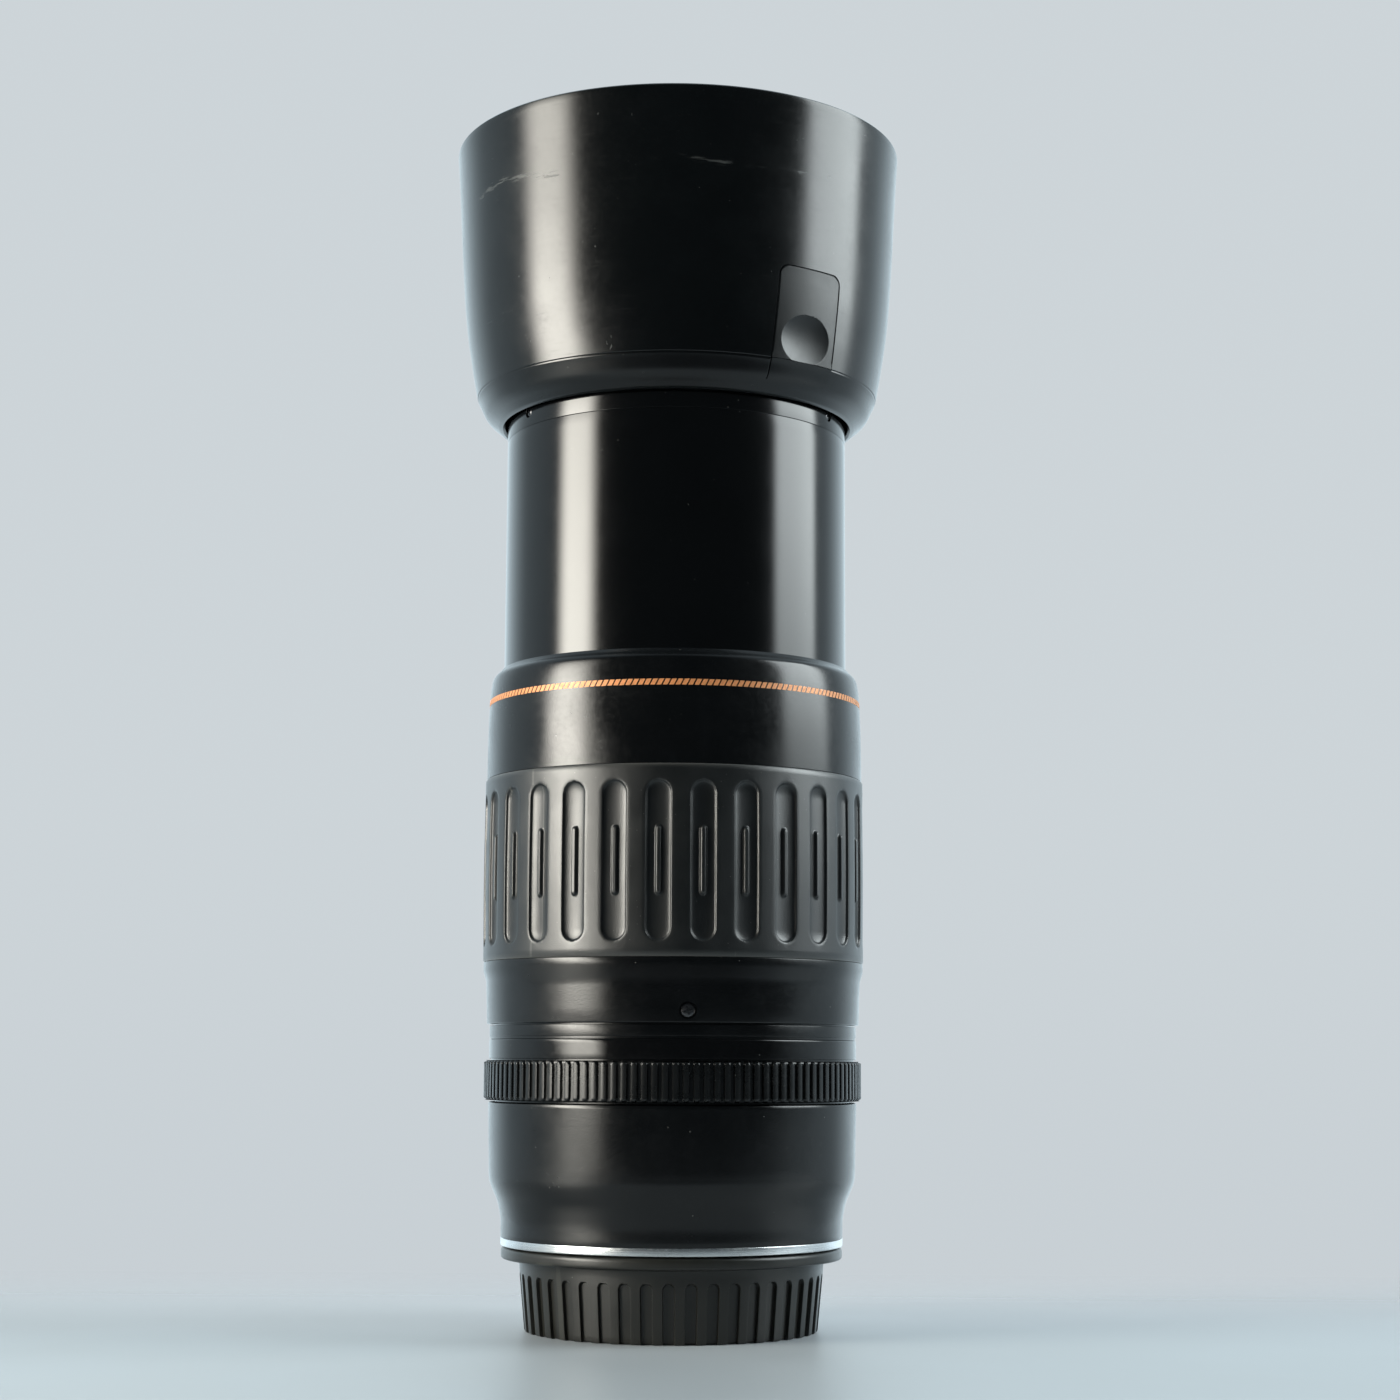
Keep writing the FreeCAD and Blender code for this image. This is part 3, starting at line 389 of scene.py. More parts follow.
def place(piece, body, slot, *nodes):
    """Hangs a piece on its body, in place of any CAD nodes that are named. The slot is not used."""
    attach(piece, body)
    if nodes:
        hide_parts(*nodes)
    return piece


# ---- material helpers ------------------------------------
MATERIAL = {}


class Nodes:
    """Builds a node tree. Sizes of patterns are in millimetres."""

    def __init__(self, tree, coordinates):
        self.tree = tree
        self.spot = self.add("TexCoord", {}).outputs[coordinates]

    def add(self, kind, inputs, **settings):
        made = self.tree.nodes.new("ShaderNode" + kind)
        for key, value in settings.items():
            setattr(made, key, value)
        for key, value in inputs.items():
            self.put(made.inputs[key], value)
        return made

    def put(self, socket, value):
        if isinstance(value, bpy.types.NodeSocket):
            self.tree.links.new(value, socket)
        else:
            socket.default_value = value

    def noise(self, size, detail=2.0, stretch=(1, 1, 1), where=None, distortion=0.0):
        spot = self.add("Mapping", {"Vector": where or self.spot, "Scale": stretch}).outputs[0]
        return self.add("TexNoise", {"Vector": spot, "Scale": 1 / (size * MM), "Detail": detail,
                                     "Distortion": distortion}).outputs[0]

    def specks(self, size, share):
        """1 in small round spots that fill about share of each cell, 0 elsewhere."""
        far = self.add("TexVoronoi", {"Vector": self.spot, "Scale": 1 / (size * MM)}).outputs["Distance"]
        return self.ramp(far, share, share * 0.6)

    def ramp(self, value, low, high, start=0.0, end=1.0):
        return self.add("MapRange", {"Value": value, "From Min": low, "From Max": high, "To Min": start,
                                     "To Max": end}, interpolation_type="SMOOTHSTEP").outputs[0]

    def math(self, operation, first, second=0.0):
        return self.add("Math", {0: first, 1: second}, operation=operation).outputs[0]

    def plus(self, first, second):
        return self.math("ADD", first, second)

    def times(self, first, second):
        return self.math("MULTIPLY", first, second)

    def axes(self):
        """The sockets that carry x, y and z, in metres."""
        return self.add("SeparateXYZ", {0: self.spot}).outputs

    def mix(self, share, first, second):
        made = self.add("Mix", {}, data_type="RGBA")
        sockets = [socket for socket in made.inputs if socket.type == "RGBA"]
        self.put(made.inputs[0], share)
        self.put(sockets[0], (*first, 1) if isinstance(first, tuple) else first)
        self.put(sockets[1], (*second, 1) if isinstance(second, tuple) else second)
        return [socket for socket in made.outputs if socket.type == "RGBA"][0]

    def bump(self, value, depth, under=None):
        """A bump whose full height is depth millimetres."""
        inputs = {"Height": value, "Distance": depth * MM, "Strength": 1.0}
        if under is not None:
            inputs["Normal"] = under
        return self.add("Bump", inputs).outputs[0]

    def turned(self, size):
        """Fine rings about the optical axis, as a lathe tool leaves them."""
        x, y, z = self.axes()
        across = self.math("SQRT", self.plus(self.times(x, x), self.times(y, y)))
        spot = self.add("CombineXYZ", {0: across, 1: z}).outputs[0]
        return self.noise(size, 3.0, where=spot)

    def azimuth(self):
        """The azimuth in degrees."""
        x, y, _ = self.axes()
        return self.math("DEGREES", self.math("ARCTAN2", x, self.times(y, -1.0)))

    def height(self):
        """The height in millimetres."""
        return self.math("DIVIDE", self.axes()[2], MM)

    def edges(self, low=0.53, high=0.60):
        """1 along convex edges of a dense mesh."""
        return self.ramp(self.add("NewGeometry", {}).outputs["Pointiness"], low, high)


class Look(Nodes):
    """Builds one material, and lists it under its name."""

    def __init__(self, name):
        MATERIAL[name] = bpy.data.materials.new(name)
        MATERIAL[name].use_nodes = True
        super().__init__(MATERIAL[name].node_tree, "Object")
        self.shader = self.tree.nodes["Principled BSDF"]

    def set(self, **values):
        for key, value in values.items():
            self.put(self.shader.inputs[key.replace("_", " ")], value)

    def source(self, key):
        """The socket that already feeds an input of the shader."""
        return self.shader.inputs[key].links[0].from_socket


def lighter(colour, gain):
    return tuple(min(1.0, part * gain) for part in colour)


def plastic(name, colour, roughness, grain=0.0, grain_depth=0.0, streak=0.0, dust=0.25, edge=0.25,
            patchy=1.0):
    """Moulded or painted surface: cloudy sheen, grain, fine streaks, lighter convex edges and a little dust.
    """
    n = Look(name)
    cloud = n.noise(9.0, 4.0)
    fine = n.noise(0.9, 3.0)
    tone = n.mix(n.ramp(cloud, 0.35, 0.7), colour, lighter(colour, 1.35))
    # lighter along convex edges, found by pointiness
    tone = n.mix(n.times(n.edges(), edge), tone, lighter(colour, 5))
    gloss = n.plus(n.ramp(cloud, 0.3, 0.7, roughness - 0.03 * patchy, roughness + 0.04 * patchy),
                   n.ramp(fine, 0.35, 0.75, -0.015 * patchy, 0.03 * patchy))
    if streak:
        lines = n.noise(0.35, 2.0, stretch=(0.06, 0.06, 1.0))
        gloss = n.plus(gloss, n.ramp(lines, 0.6, 0.75, 0.0, streak))
    motes = n.times(n.specks(2.6, 0.05), n.ramp(n.noise(14.0, 1.0), 0.5, 0.62))
    tone = n.mix(n.times(motes, dust), tone, (0.45, 0.45, 0.42))
    n.set(Base_Color=tone, Roughness=gloss, Specular_IOR_Level=0.5)
    if grain:
        n.set(Normal=n.bump(n.noise(grain, 1.5), grain_depth))
    return n


def metal(name, colour, roughness, turned=0.3, depth=0.004, tarnish=0.3):
    """Turned or plated metal with tool rings, a cloudy tarnish and tiny nicks."""
    n = Look(name)
    rings = n.turned(turned)
    cloud = n.noise(5.0, 4.0)
    tone = n.mix(n.ramp(cloud, 0.4, 0.75), colour, lighter(colour, 1 - tarnish))
    gloss = n.plus(n.ramp(rings, 0.3, 0.7, roughness - 0.05, roughness + 0.08),
                   n.ramp(cloud, 0.4, 0.8, 0.0, 0.08))
    n.set(Base_Color=tone, Roughness=gloss, Metallic=1.0,
          Normal=n.bump(rings, depth, n.bump(n.noise(0.25, 2.0), depth * 0.4)))


def hood_plastic(name):
    """Satin hood plastic with a broken line of scuffs below its rim, and painted highlight sparkle: pale
    upright streaks on the side where the left lamp's highlight falls.
    """
    n = plastic(name, (0.0010, 0.0016, 0.0019), 0.20, grain=0.5, grain_depth=0.0012, streak=0.05, dust=0.15,
                patchy=0.6)
    scuff_height = 199.0
    sparkle_azimuth = -30.0
    wander = n.ramp(n.noise(30.0, 2.0), 0.0, 1.0, -3.0, 3.0)
    line = n.math("ABSOLUTE", n.math("SUBTRACT", n.plus(n.height(), wander), scuff_height))
    band = n.times(n.ramp(line, 0.8, 0.1), n.ramp(n.noise(9.0, 3.0), 0.52, 0.62))
    scuff = n.times(band, n.ramp(n.noise(0.45, 2.0, stretch=(0.12, 0.12, 1.0)), 0.42, 0.7))
    # painted highlight sparkle: pale upright streaks only round the azimuth of the left lamp's highlight
    sparkle_fleck = n.noise(1.1, 2.0, stretch=(1.0, 1.0, 0.35), distortion=1.5)
    near = n.ramp(n.math("ABSOLUTE", n.plus(n.azimuth(), -sparkle_azimuth)), 32.0, 12.0)
    scuff_and_painted_sparkle = n.math("MAXIMUM", scuff, n.times(n.ramp(sparkle_fleck, 0.74, 0.80), near))
    # the colour carries the real scuffs and the painted highlight sparkle
    n.set(Base_Color=n.mix(n.times(scuff_and_painted_sparkle, 0.22), n.source("Base Color"), (0.26, 0.28, 0.27)),
          Roughness=n.plus(n.source("Roughness"), n.times(scuff_and_painted_sparkle, 0.25)))


def rubber(name):
    """Grip rubber with a fine pebble, paler along its convex edges."""
    n = Look(name)
    cloud = n.noise(6.0, 4.0)
    tone = n.mix(n.ramp(cloud, 0.35, 0.7), (0.0025, 0.0034, 0.0038), (0.0045, 0.0056, 0.006))
    # paler along convex edges, found by pointiness
    tone = n.mix(n.times(n.edges(0.52, 0.58), 0.5), tone, (0.12, 0.12, 0.11))
    tone = n.mix(n.times(n.specks(1.7, 0.06), 0.35), tone, (0.3, 0.29, 0.27))
    n.set(Base_Color=tone, Roughness=n.ramp(cloud, 0.3, 0.7, 0.33, 0.39), Specular_IOR_Level=0.8,
          Normal=n.bump(n.noise(0.22, 2.0), 0.022, n.bump(n.noise(0.7, 2.0), 0.008)))


def glass(name, colour, coat):
    """Clear glass with a faint coating colour and a few smears."""
    n = Look(name)
    facing = n.add("LayerWeight", {"Blend": 0.35}).outputs["Facing"]
    n.set(Base_Color=(*colour, 1), Transmission_Weight=1.0, IOR=1.5,
          Roughness=n.ramp(n.noise(7.0, 3.0), 0.6, 0.95, 0.0, 0.015),
          Specular_Tint=n.mix(facing, coat, lighter(coat, 3)), Normal=n.bump(n.noise(12.0, 1.0), 0.0006))


def felt(name):
    n = Look(name)
    fibre = n.noise(0.12, 4.0, stretch=(0.5, 1.0, 1.0), distortion=2.0)
    n.set(Base_Color=n.mix(fibre, (0.01, 0.01, 0.01), (0.05, 0.05, 0.05)), Roughness=0.95,
          Sheen_Weight=0.4, Normal=n.bump(fibre, 0.06))


def board(name):
    """Circuit board with paler tracks."""
    n = Look(name)
    tracks = n.ramp(n.noise(1.2, 0.0, stretch=(1, 0.25, 1)), 0.5, 0.52)
    n.set(Base_Color=n.mix(tracks, (0.01, 0.12, 0.05), (0.03, 0.24, 0.11)), Roughness=0.4,
          Normal=n.bump(tracks, 0.03))


def print_paint(name, colour, metallic=0.0):
    """Screen-printed paint, slightly patchy."""
    n = Look(name)
    patch = n.noise(0.5, 3.0)
    n.set(Base_Color=n.mix(n.ramp(patch, 0.35, 0.7), colour, lighter(colour, 0.8)),
          Roughness=n.ramp(patch, 0.3, 0.7, 0.38, 0.5), Metallic=metallic, Normal=n.bump(patch, 0.006))


plastic("barrel_black", (0.0009, 0.0012, 0.0015), 0.21, grain=0.33, grain_depth=0.0085, dust=0.3)
plastic("tube_black", (0.0006, 0.0008, 0.0010), 0.145, grain=0.8, grain_depth=0.0008, streak=0.01, dust=0.15,
        patchy=0.25)
hood_plastic("hood_black")
plastic("button_black", (0.0025, 0.0033, 0.0037), 0.36, grain=0.35, grain_depth=0.005, dust=0.1)
plastic("hood_lining", (0.008, 0.008, 0.008), 0.72, grain=0.3, grain_depth=0.02)
rubber("grip_rubber")
plastic("gloss_black", (0.001, 0.001, 0.0012), 0.16, dust=0.3, edge=0.1)
plastic("cap_black", (0.012, 0.0119, 0.0100), 0.32, grain=0.3, grain_depth=0.008, dust=0.5, edge=0.4)
plastic("focus_black", (0.0025, 0.003, 0.0033), 0.27, grain=0.3, grain_depth=0.004, dust=0.3, edge=0.5)
plastic("inner_plastic", (0.03, 0.03, 0.031), 0.5, grain=0.4, grain_depth=0.01)
plastic("scale_black", (0.004, 0.004, 0.0045), 0.45, grain=0.3, grain_depth=0.004)
metal("mount_metal", (0.78, 0.80, 0.81), 0.22, turned=0.12, depth=0.0015, tarnish=0.12)
metal("dark_steel", (0.12, 0.12, 0.125), 0.28, depth=0.003)
metal("bright_steel", (0.6, 0.6, 0.62), 0.25)
metal("black_alloy", (0.05, 0.05, 0.053), 0.42)
metal("pin_brass", (0.72, 0.50, 0.18), 0.28)
metal("contact_gold", (0.90, 0.66, 0.25), 0.2, tarnish=0.1)
glass("lens_glass", (0.97, 0.98, 0.98), (0.07, 0.15, 0.12))
glass("window_clear", (0.9, 0.93, 0.93), (0.9, 0.95, 1.0))
board("board_green")
felt("seal_felt")
print_paint("gold_print", (0.84, 0.34, 0.13), 0.15)
print_paint("white_print", (0.72, 0.72, 0.68))
print_paint("red_print", (0.55, 0.02, 0.02))


# ---- hood ------------------------------------------------
def hood_wall_points():
    """The outside of the hood from its seam to its rim."""
    taper = [(4.56, HOOD_SEAM), (3.47, 169.8), (2.29, 177.9), (1.45, 188.0), (0.52, 204.5),
             (0.02, HOOD_TOP - 0.6)]
    return through([(HOOD_RADIUS - inset, height) for inset, height in taper], 8)


def hood_outside(height):
    run = np.array(hood_wall_points())
    return np.interp(height, run[:, 1], run[:, 0])


def hood_upper_shell():
    outside = hood_wall_points()
    bottom = outside[0]
    chamfer = 0.12
    lower = [(bottom[0] - chamfer, HOOD_SEAM), (bottom[0] + chamfer * 0.15, HOOD_SEAM + chamfer)]
    rim = [(HOOD_RADIUS - 0.06, HOOD_TOP - 0.25), (HOOD_RADIUS - 0.3, HOOD_TOP),
           (HOOD_RADIUS - HOOD_WALL + 0.3, HOOD_TOP), (HOOD_RADIUS - HOOD_WALL + 0.03, HOOD_TOP - 0.25)]
    inside = [(radius - HOOD_WALL, height) for radius, height in reversed(outside)]
    outline = finer(lower + outside[1:] + rim + inside, 1.2)
    shell = lathe("hood_upper_shell", outline, even_angles(), "hood_black")
    tools = [curved_plate("opening", "hood_black", azimuth, BUTTON_HALF_WIDTH + 0.05, HOOD_SEAM - 2,
                          BUTTON_TOP + 0.05, (0.0, 2.0), 34.0, 46.0, 40, 40)
             for azimuth in (BUTTON_AZIMUTH, BUTTON_AZIMUTH + 180)]
    place(combine(shell, tools, "DIFFERENCE"), "hood", "hood_black", "hood_shell")


def hood_release(name, azimuth):
    """Panel in the hood wall with a round thumb dimple."""
    dimple_height = 167.6
    dimple_radius = 4.75
    dimple_stretch = 1.2
    dimple_sphere = 11.5
    dimple_depth = dimple_sphere - math.sqrt(dimple_sphere ** 2 - dimple_radius ** 2)

    def sink(across, height, edge):
        far = np.hypot(across / dimple_stretch, height - dimple_height)
        bowl = np.sqrt(np.maximum(dimple_sphere ** 2 - far ** 2, 0)) - (dimple_sphere - dimple_depth)
        slope = (hood_outside(height) - hood_outside(dimple_height)) * 0.15
        corner = 0.10 * (1 - step_up(0.0, 0.22, edge)) * (height > HOOD_SEAM + 1.0)
        return np.where(far < dimple_radius, np.maximum(bowl + slope, 0), 0) + corner

    panel = curved_plate(name, "button_black", azimuth, BUTTON_HALF_WIDTH - BUTTON_GAP,
                         HOOD_SEAM + 0.05, BUTTON_TOP - BUTTON_GAP, (0.0, 2.0),
                         lambda z: hood_outside(z) - HOOD_WALL, hood_outside, 130, 180, sink)
    foot = curved_plate(name + "_foot", "button_black", azimuth, 3.0, 164.8, 166.8, (0.3, 0.3),
                        36.95, 38.4, 10, 8)
    place(combine(panel, [foot], "UNION"), name, "hood_black", name)


def hood_lip_ring():
    """Rounded lip below the seam, with the collar that slides over the front ring."""
    top = HOOD_SEAM - 0.08
    ledge = 160.5
    curve = through([(35.0, LIP_BASE + 0.25), (35.9, 158.8), (37.06, 159.75), (37.93, 160.75), (38.86, 162.7),
                     (LIP_RADIUS, top)], 6)
    outline = [(COLLAR_INNER, LIP_BASE + 0.4), (COLLAR_INNER + 0.4, LIP_BASE)] + curve
    outline += [(LIP_RADIUS - HOOD_WALL, top), (36.9, 162.0), (35.4, 160.7), (COLLAR_OUTER, ledge),
                (COLLAR_OUTER, COLLAR_TOP - 0.2), (COLLAR_OUTER - 0.2, COLLAR_TOP),
                (COLLAR_INNER, COLLAR_TOP)]
    outline = finer(outline, lambda z: 0.12 if z > top - 0.5 else 0.6)
    half = math.degrees(BUTTON_HALF_WIDTH / LIP_RADIUS)
    seam_azimuth = BUTTON_AZIMUTH - half

    def relief(radius, height, azimuth):
        beside = np.abs((azimuth - BUTTON_AZIMUTH + 90) % 180 - 90)
        shown = step_up(half, half + 0.4, beside)
        chamfer = 0.14 * step_up(top - 0.30, top, height) * shown
        line = 1 - step_up(0.10, 0.22, np.abs(off_centre(azimuth, 1, seam_azimuth)))
        groove = 0.25 * line * step_up(159.9, 160.3, height)
        return np.where(radius > COLLAR_OUTER + 0.3, chamfer + groove, 0)

    angles = even_angles(spots=[(seam_azimuth, 0.6, 0.05), (BUTTON_AZIMUTH + half, 0.6, 0.1)])
    ring = lathe("hood_lip_ring", outline, angles, "hood_black", relief)
    place(ring, "hood", "hood_black", "hood_rear_ring")


def hood_inner_cone():
    """Lining between the collar and the wall, with fine anti-glare steps on its face."""
    steps = []
    for k in range(8):
        low = 181.2 - 1.4 * k
        radius = 36.9 - 0.287 * k
        steps += [(radius, low), (radius - 0.02, low - 1.0), (radius + 0.28, low - 1.1)]
    outline = [(COLLAR_INNER, LINER_BASE), (35.3, LINER_BASE), (37.6, 180.0), (38.3, 183.5), (40.75, 187.5),
               (40.8, LINER_TOP), (40.2, LINER_TOP), (37.6, 184.0)] + steps
    outline += [(COLLAR_INNER + 0.3, LINER_BASE + 0.8), (COLLAR_INNER, LINER_BASE + 0.8)]
    cone = lathe("hood_inner_cone", outline, even_angles(240), "hood_lining")
    place(cone, "hood", "hood_lining", "hood_liner")


# ---- front barrel ----------------------------------------
FRONT_SCREW_AZIMUTH = 62.0
FRONT_SCREW_HEIGHT = 157.4
FRONT_SCREW_RECESS = 1.1
ZOOM_SCREW_AZIMUTH = 4.9
ZOOM_SCREW_HEIGHT = 43.5
ZOOM_SCREW_RECESS = 1.6


def sink_screws(ring, first, height, recess, floor):
    """Cuts three evenly spaced round recesses for screw heads, with a flat floor."""
    tools = [rod("recess", "dark_steel", recess, at(first + 120 * k, floor, height),
                 at(first + 120 * k, 40.0, height)) for k in range(3)]
    return combine(ring, tools, "DIFFERENCE")


def cross_screws(name, body, node, first, height, head, base, top):
    """Three domed screw heads with a cross recess, on short shanks."""
    shank = head * 0.5
    edge = 0.12
    foot = base - 0.6
    outline = [(0.0, foot), (shank, foot), (shank, base), (head - 0.05, base), (head, base + 0.06)]
    outline += [(head * math.cos(t), base + edge + (top - base - edge) * math.sin(t))
                for t in np.linspace(0.0, math.pi / 2, 9)]
    size = Matrix.Diagonal((head * 1.25 * MM, head * 0.26 * MM, 0.6 * MM, 1))
    lift = Matrix.Translation((0, 0, (top - 0.05) * MM))
    pieces = []
    for k in range(3):
        bars = []
        for turn in (20.0, 110.0):
            work = bmesh.new()
            bmesh.ops.create_cube(work, size=1.0)
            bmesh.ops.transform(work, matrix=lift @ Matrix.Rotation(math.radians(turn), 4, "Z") @ size,
                                verts=work.verts)
            bars.append(finish_mesh("bar", mesh_of("bar", work), MATERIAL["dark_steel"]))
        screw = combine(lathe("screw", outline, even_angles(48), "dark_steel"), bars, "DIFFERENCE")
        outward = turned_to(at(first + 120 * k, 1.0, 0.0))
        screw.data.transform(Matrix.Translation((0, 0, height * MM)) @ outward)
        pieces.append(screw)
    place(join(name, pieces), body, "dark_steel", node)


def front_ring_skin():
    bore = FRONT_TOP - 6.0
    groove = 32.4
    outline = rounded([(TUBE_INNER, RING_SEAM), (FRONT_RADIUS, RING_SEAM, 0.1), (FRONT_RADIUS, 162.6),
                       (groove, 162.6), (groove, 164.6), (FRONT_RADIUS, 164.6, 0.05),
                       (FRONT_RADIUS, FRONT_TOP, 0.3), (FILTER_RADIUS, FRONT_TOP, 0.2),
                       (FILTER_RADIUS, bore), (TUBE_INNER, bore)])
    ring = lathe("front_ring_skin", finer(outline, 2.0), even_angles(), "tube_black")
    ring = sink_screws(ring, FRONT_SCREW_AZIMUTH, FRONT_SCREW_HEIGHT, FRONT_SCREW_RECESS, 32.6)
    place(ring, "front_barrel", "tube_black", "front_ring")


def front_tube_skin():
    outline = rounded([(TUBE_INNER, TUBE_BASE), (TUBE_RADIUS, TUBE_BASE, 0.15), (TUBE_RADIUS, TUBE_TOP, 0.08),
                       (TUBE_INNER, TUBE_TOP)])
    tube = lathe("front_tube_skin", finer(outline, 4.0), even_angles(), "tube_black")
    place(tube, "front_barrel", "tube_black", "front_tube")


def front_retainer():
    """Screwed ring in front of the glass: a sloping face with fine steps."""
    inner = 26.0
    outline = [(inner, RETAINER_BASE), (RETAINER_RADIUS, RETAINER_BASE), (RETAINER_RADIUS, RETAINER_TOP)]
    for k in range(4):
        radius = RETAINER_RADIUS - 0.5 - 0.5 * k
        height = RETAINER_TOP - 0.45 * k
        outline += [(radius, height), (radius, height - 0.4)]
    outline.append((inner, RETAINER_BASE + 0.8))
    ring = lathe("front_retainer", outline, even_angles(240), "hood_lining")
    place(ring, "front_barrel", "hood_lining", "front_retaining_ring")


def lens_outline(radius, rear_vertex, rear_edge, front_edge, front_vertex, steps=14):
    """One glass element: two curved faces and a ground edge."""
    def face(vertex, edge):
        share = np.linspace(0, 1, steps)
        sag = edge - vertex
        sphere = (radius ** 2 + sag ** 2) / (2 * abs(sag))
        depth = sphere - np.sqrt(sphere ** 2 - (share * radius) ** 2)
        return [(s * radius, vertex + math.copysign(d, sag)) for s, d in zip(share, depth)]

    return face(rear_vertex, rear_edge) + face(front_vertex, front_edge)[::-1]


def front_glass():
    """Three elements. Each has its heights at the rear vertex, rear edge, front edge and front vertex."""
    radius = 26.98
    elements = [(154.6, 155.8, 157.2, 160.0), (153.2, 153.6, 155.75, 154.55), (149.2, 149.6, 150.8, 152.6)]
    pieces = [lathe("front_glass_%d" % k, lens_outline(radius, *element), even_angles(120), "lens_glass")
              for k, element in enumerate(elements)]
    place(join("front_glass", pieces), "front_barrel", "lens_glass", "front_elements")


# ---- zoom ring -------------------------------------------
def zoom_surface():
    """The zoom ring's outside above the grip, from the grip to its top."""
    return through([(ZOOM_RADIUS - 0.12, GRIP_TOP), (ZOOM_RADIUS - 0.2, 96.0), (ZOOM_RADIUS - 0.4, 102.0),
                    (ZOOM_RADIUS - 0.6, 105.0), (35.5, 107.0), (35.1, 107.9), (34.26, 108.7),
                    (33.75, ZOOM_TOP)], 6)


def zoom_ring_skin():
    lower = rounded([(ZOOM_INNER, ZOOM_BASE), (35.58, ZOOM_BASE, 0.25), (35.8, 48.0), (35.85, 49.5),
                     (ZOOM_RADIUS, 51.3), (ZOOM_RADIUS, GRIP_BASE - 0.05, 0.12),
                     (GRIP_SEAT, GRIP_BASE - 0.05), (GRIP_SEAT, GRIP_TOP + 0.05)])
    upper = [(ZOOM_RADIUS - 0.2, GRIP_TOP + 0.05), (ZOOM_RADIUS - 0.13, GRIP_TOP + 0.12)] + zoom_surface()[1:]
    outline = lower + upper + [(33.6, ZOOM_TOP), (33.6, 107.8), (ZOOM_INNER, 107.8)]
    ring = lathe("zoom_ring_skin", finer(outline, 2.5), even_angles(), "barrel_black")
    ring = sink_screws(ring, ZOOM_SCREW_AZIMUTH, ZOOM_SCREW_HEIGHT, ZOOM_SCREW_RECESS, 34.9)
    place(ring, "zoom_control", "barrel_black", "zoom_ring")


def zoom_grip_skin():
    """Rubber sleeve: long troughs with soft ends, each with a narrow raised rib."""
    low = GRIP_BASE
    high = GRIP_TOP
    half_width = 2.35
    recess_low = 55.9
    recess_high = 84.9
    rib_low = 64.0
    rib_high = 76.8
    rib_half = 0.8
    crown = through([(GRIP_RADIUS - 0.13, low + 0.25), (GRIP_RADIUS, (low + high) / 2),
                     (GRIP_RADIUS - 0.13, high - 0.25)], 8)
    outline = [(GRIP_SEAT + 0.02, low), (GRIP_RADIUS - 0.35, low)] + crown
    outline += [(GRIP_RADIUS - 0.35, high), (GRIP_SEAT + 0.02, high)]

    def step(z):
        if min(abs(z - recess_low - 1.1), abs(z - recess_high + 1.1)) < 1.5:
            return 0.09
        if min(abs(z - rib_low - 0.3), abs(z - rib_high + 0.3)) < 0.8:
            return 0.14
        return 1.1

    def relief(radius, height, azimuth):
        across = np.radians(off_centre(azimuth, GRIP_COUNT, GRIP_FIRST)) * GRIP_RADIUS
        far = pill_distance(across, height, half_width, recess_low, recess_high)
        inside = np.clip(-far / half_width, 0, 1)
        trough = 0.22 * step_up(0.0, 0.22, -far) + 0.62 * np.sqrt(np.maximum(1 - (1 - inside) ** 2, 0))
        swell = 0.06 * (1 - step_up(0.0, 0.5, far)) * step_up(-0.3, 0.0, far)
        rib = pill_distance(across, height, rib_half, rib_low, rib_high)
        ridge = 0.62 * step_up(0.0, 0.55, -rib)
        return np.where(radius > GRIP_SEAT + 0.3, trough * (far < 0) - ridge + swell, 0)

    across = np.concatenate([np.linspace(0.0, 0.9, 11), np.linspace(1.0, 2.5, 18), [2.75, 3.1, 3.6]])
    angles = pitch_angles(GRIP_COUNT, GRIP_FIRST, across, GRIP_RADIUS)
    skin = lathe("zoom_grip_skin", finer(outline, step), angles, "grip_rubber", relief, 45.0)
    place(skin, "zoom_control", "grip_rubber", "zoom_grip")


def gold_dashes():
    """The band of slanted printed dashes round the front of the zoom ring."""
    count = 196
    low = 102.2
    high = 103.3
    slant = 0.28
    surface = np.array(zoom_surface())
    pitch = 360.0 / count
    half_gap = 0.14
    half = pitch / 2 - math.degrees(half_gap / 35.9)
    points = []
    faces = []
    for k in range(count):
        for radius_shift in (0.03, -0.05):
            for height, lean in ((low, -slant), (high, slant)):
                radius = np.interp(height, surface[:, 1], surface[:, 0]) + radius_shift
                for side in (-half, 0.0, half):
                    azimuth = k * pitch + side + math.degrees(lean / radius)
                    points.append(Vector(at(azimuth, radius, height)) * MM)
        a = 12 * k
        front = [(a, a + 1, a + 4, a + 3), (a + 1, a + 2, a + 5, a + 4)]
        back = [(a + 6, a + 9, a + 10, a + 7), (a + 7, a + 10, a + 11, a + 8)]
        rim = [0, 1, 2, 5, 4, 3]
        sides = [(a + j, a + j + 6, a + i + 6, a + i) for i, j in zip(rim, rim[1:] + rim[:1])]
        faces += front + back + sides
    dashes = finish_mesh("gold_dashes", new_mesh("gold_dashes", points, faces),
                         MATERIAL["gold_print"])
    place(dashes, "zoom_control", "barrel_black")


def focal_numbers():
    """Focal lengths on the back part of the zoom ring; the one in use stands over the index line."""
    for value, turn in (("300", 0.0), ("200", 27.0), ("135", 50.0), ("100", ZOOM_TURN)):
        number = label("focal_" + value, value, 2.9, 35.74, WINDOW_AZIMUTH - turn, 46.6)
        place(number, "zoom_control", "barrel_black")


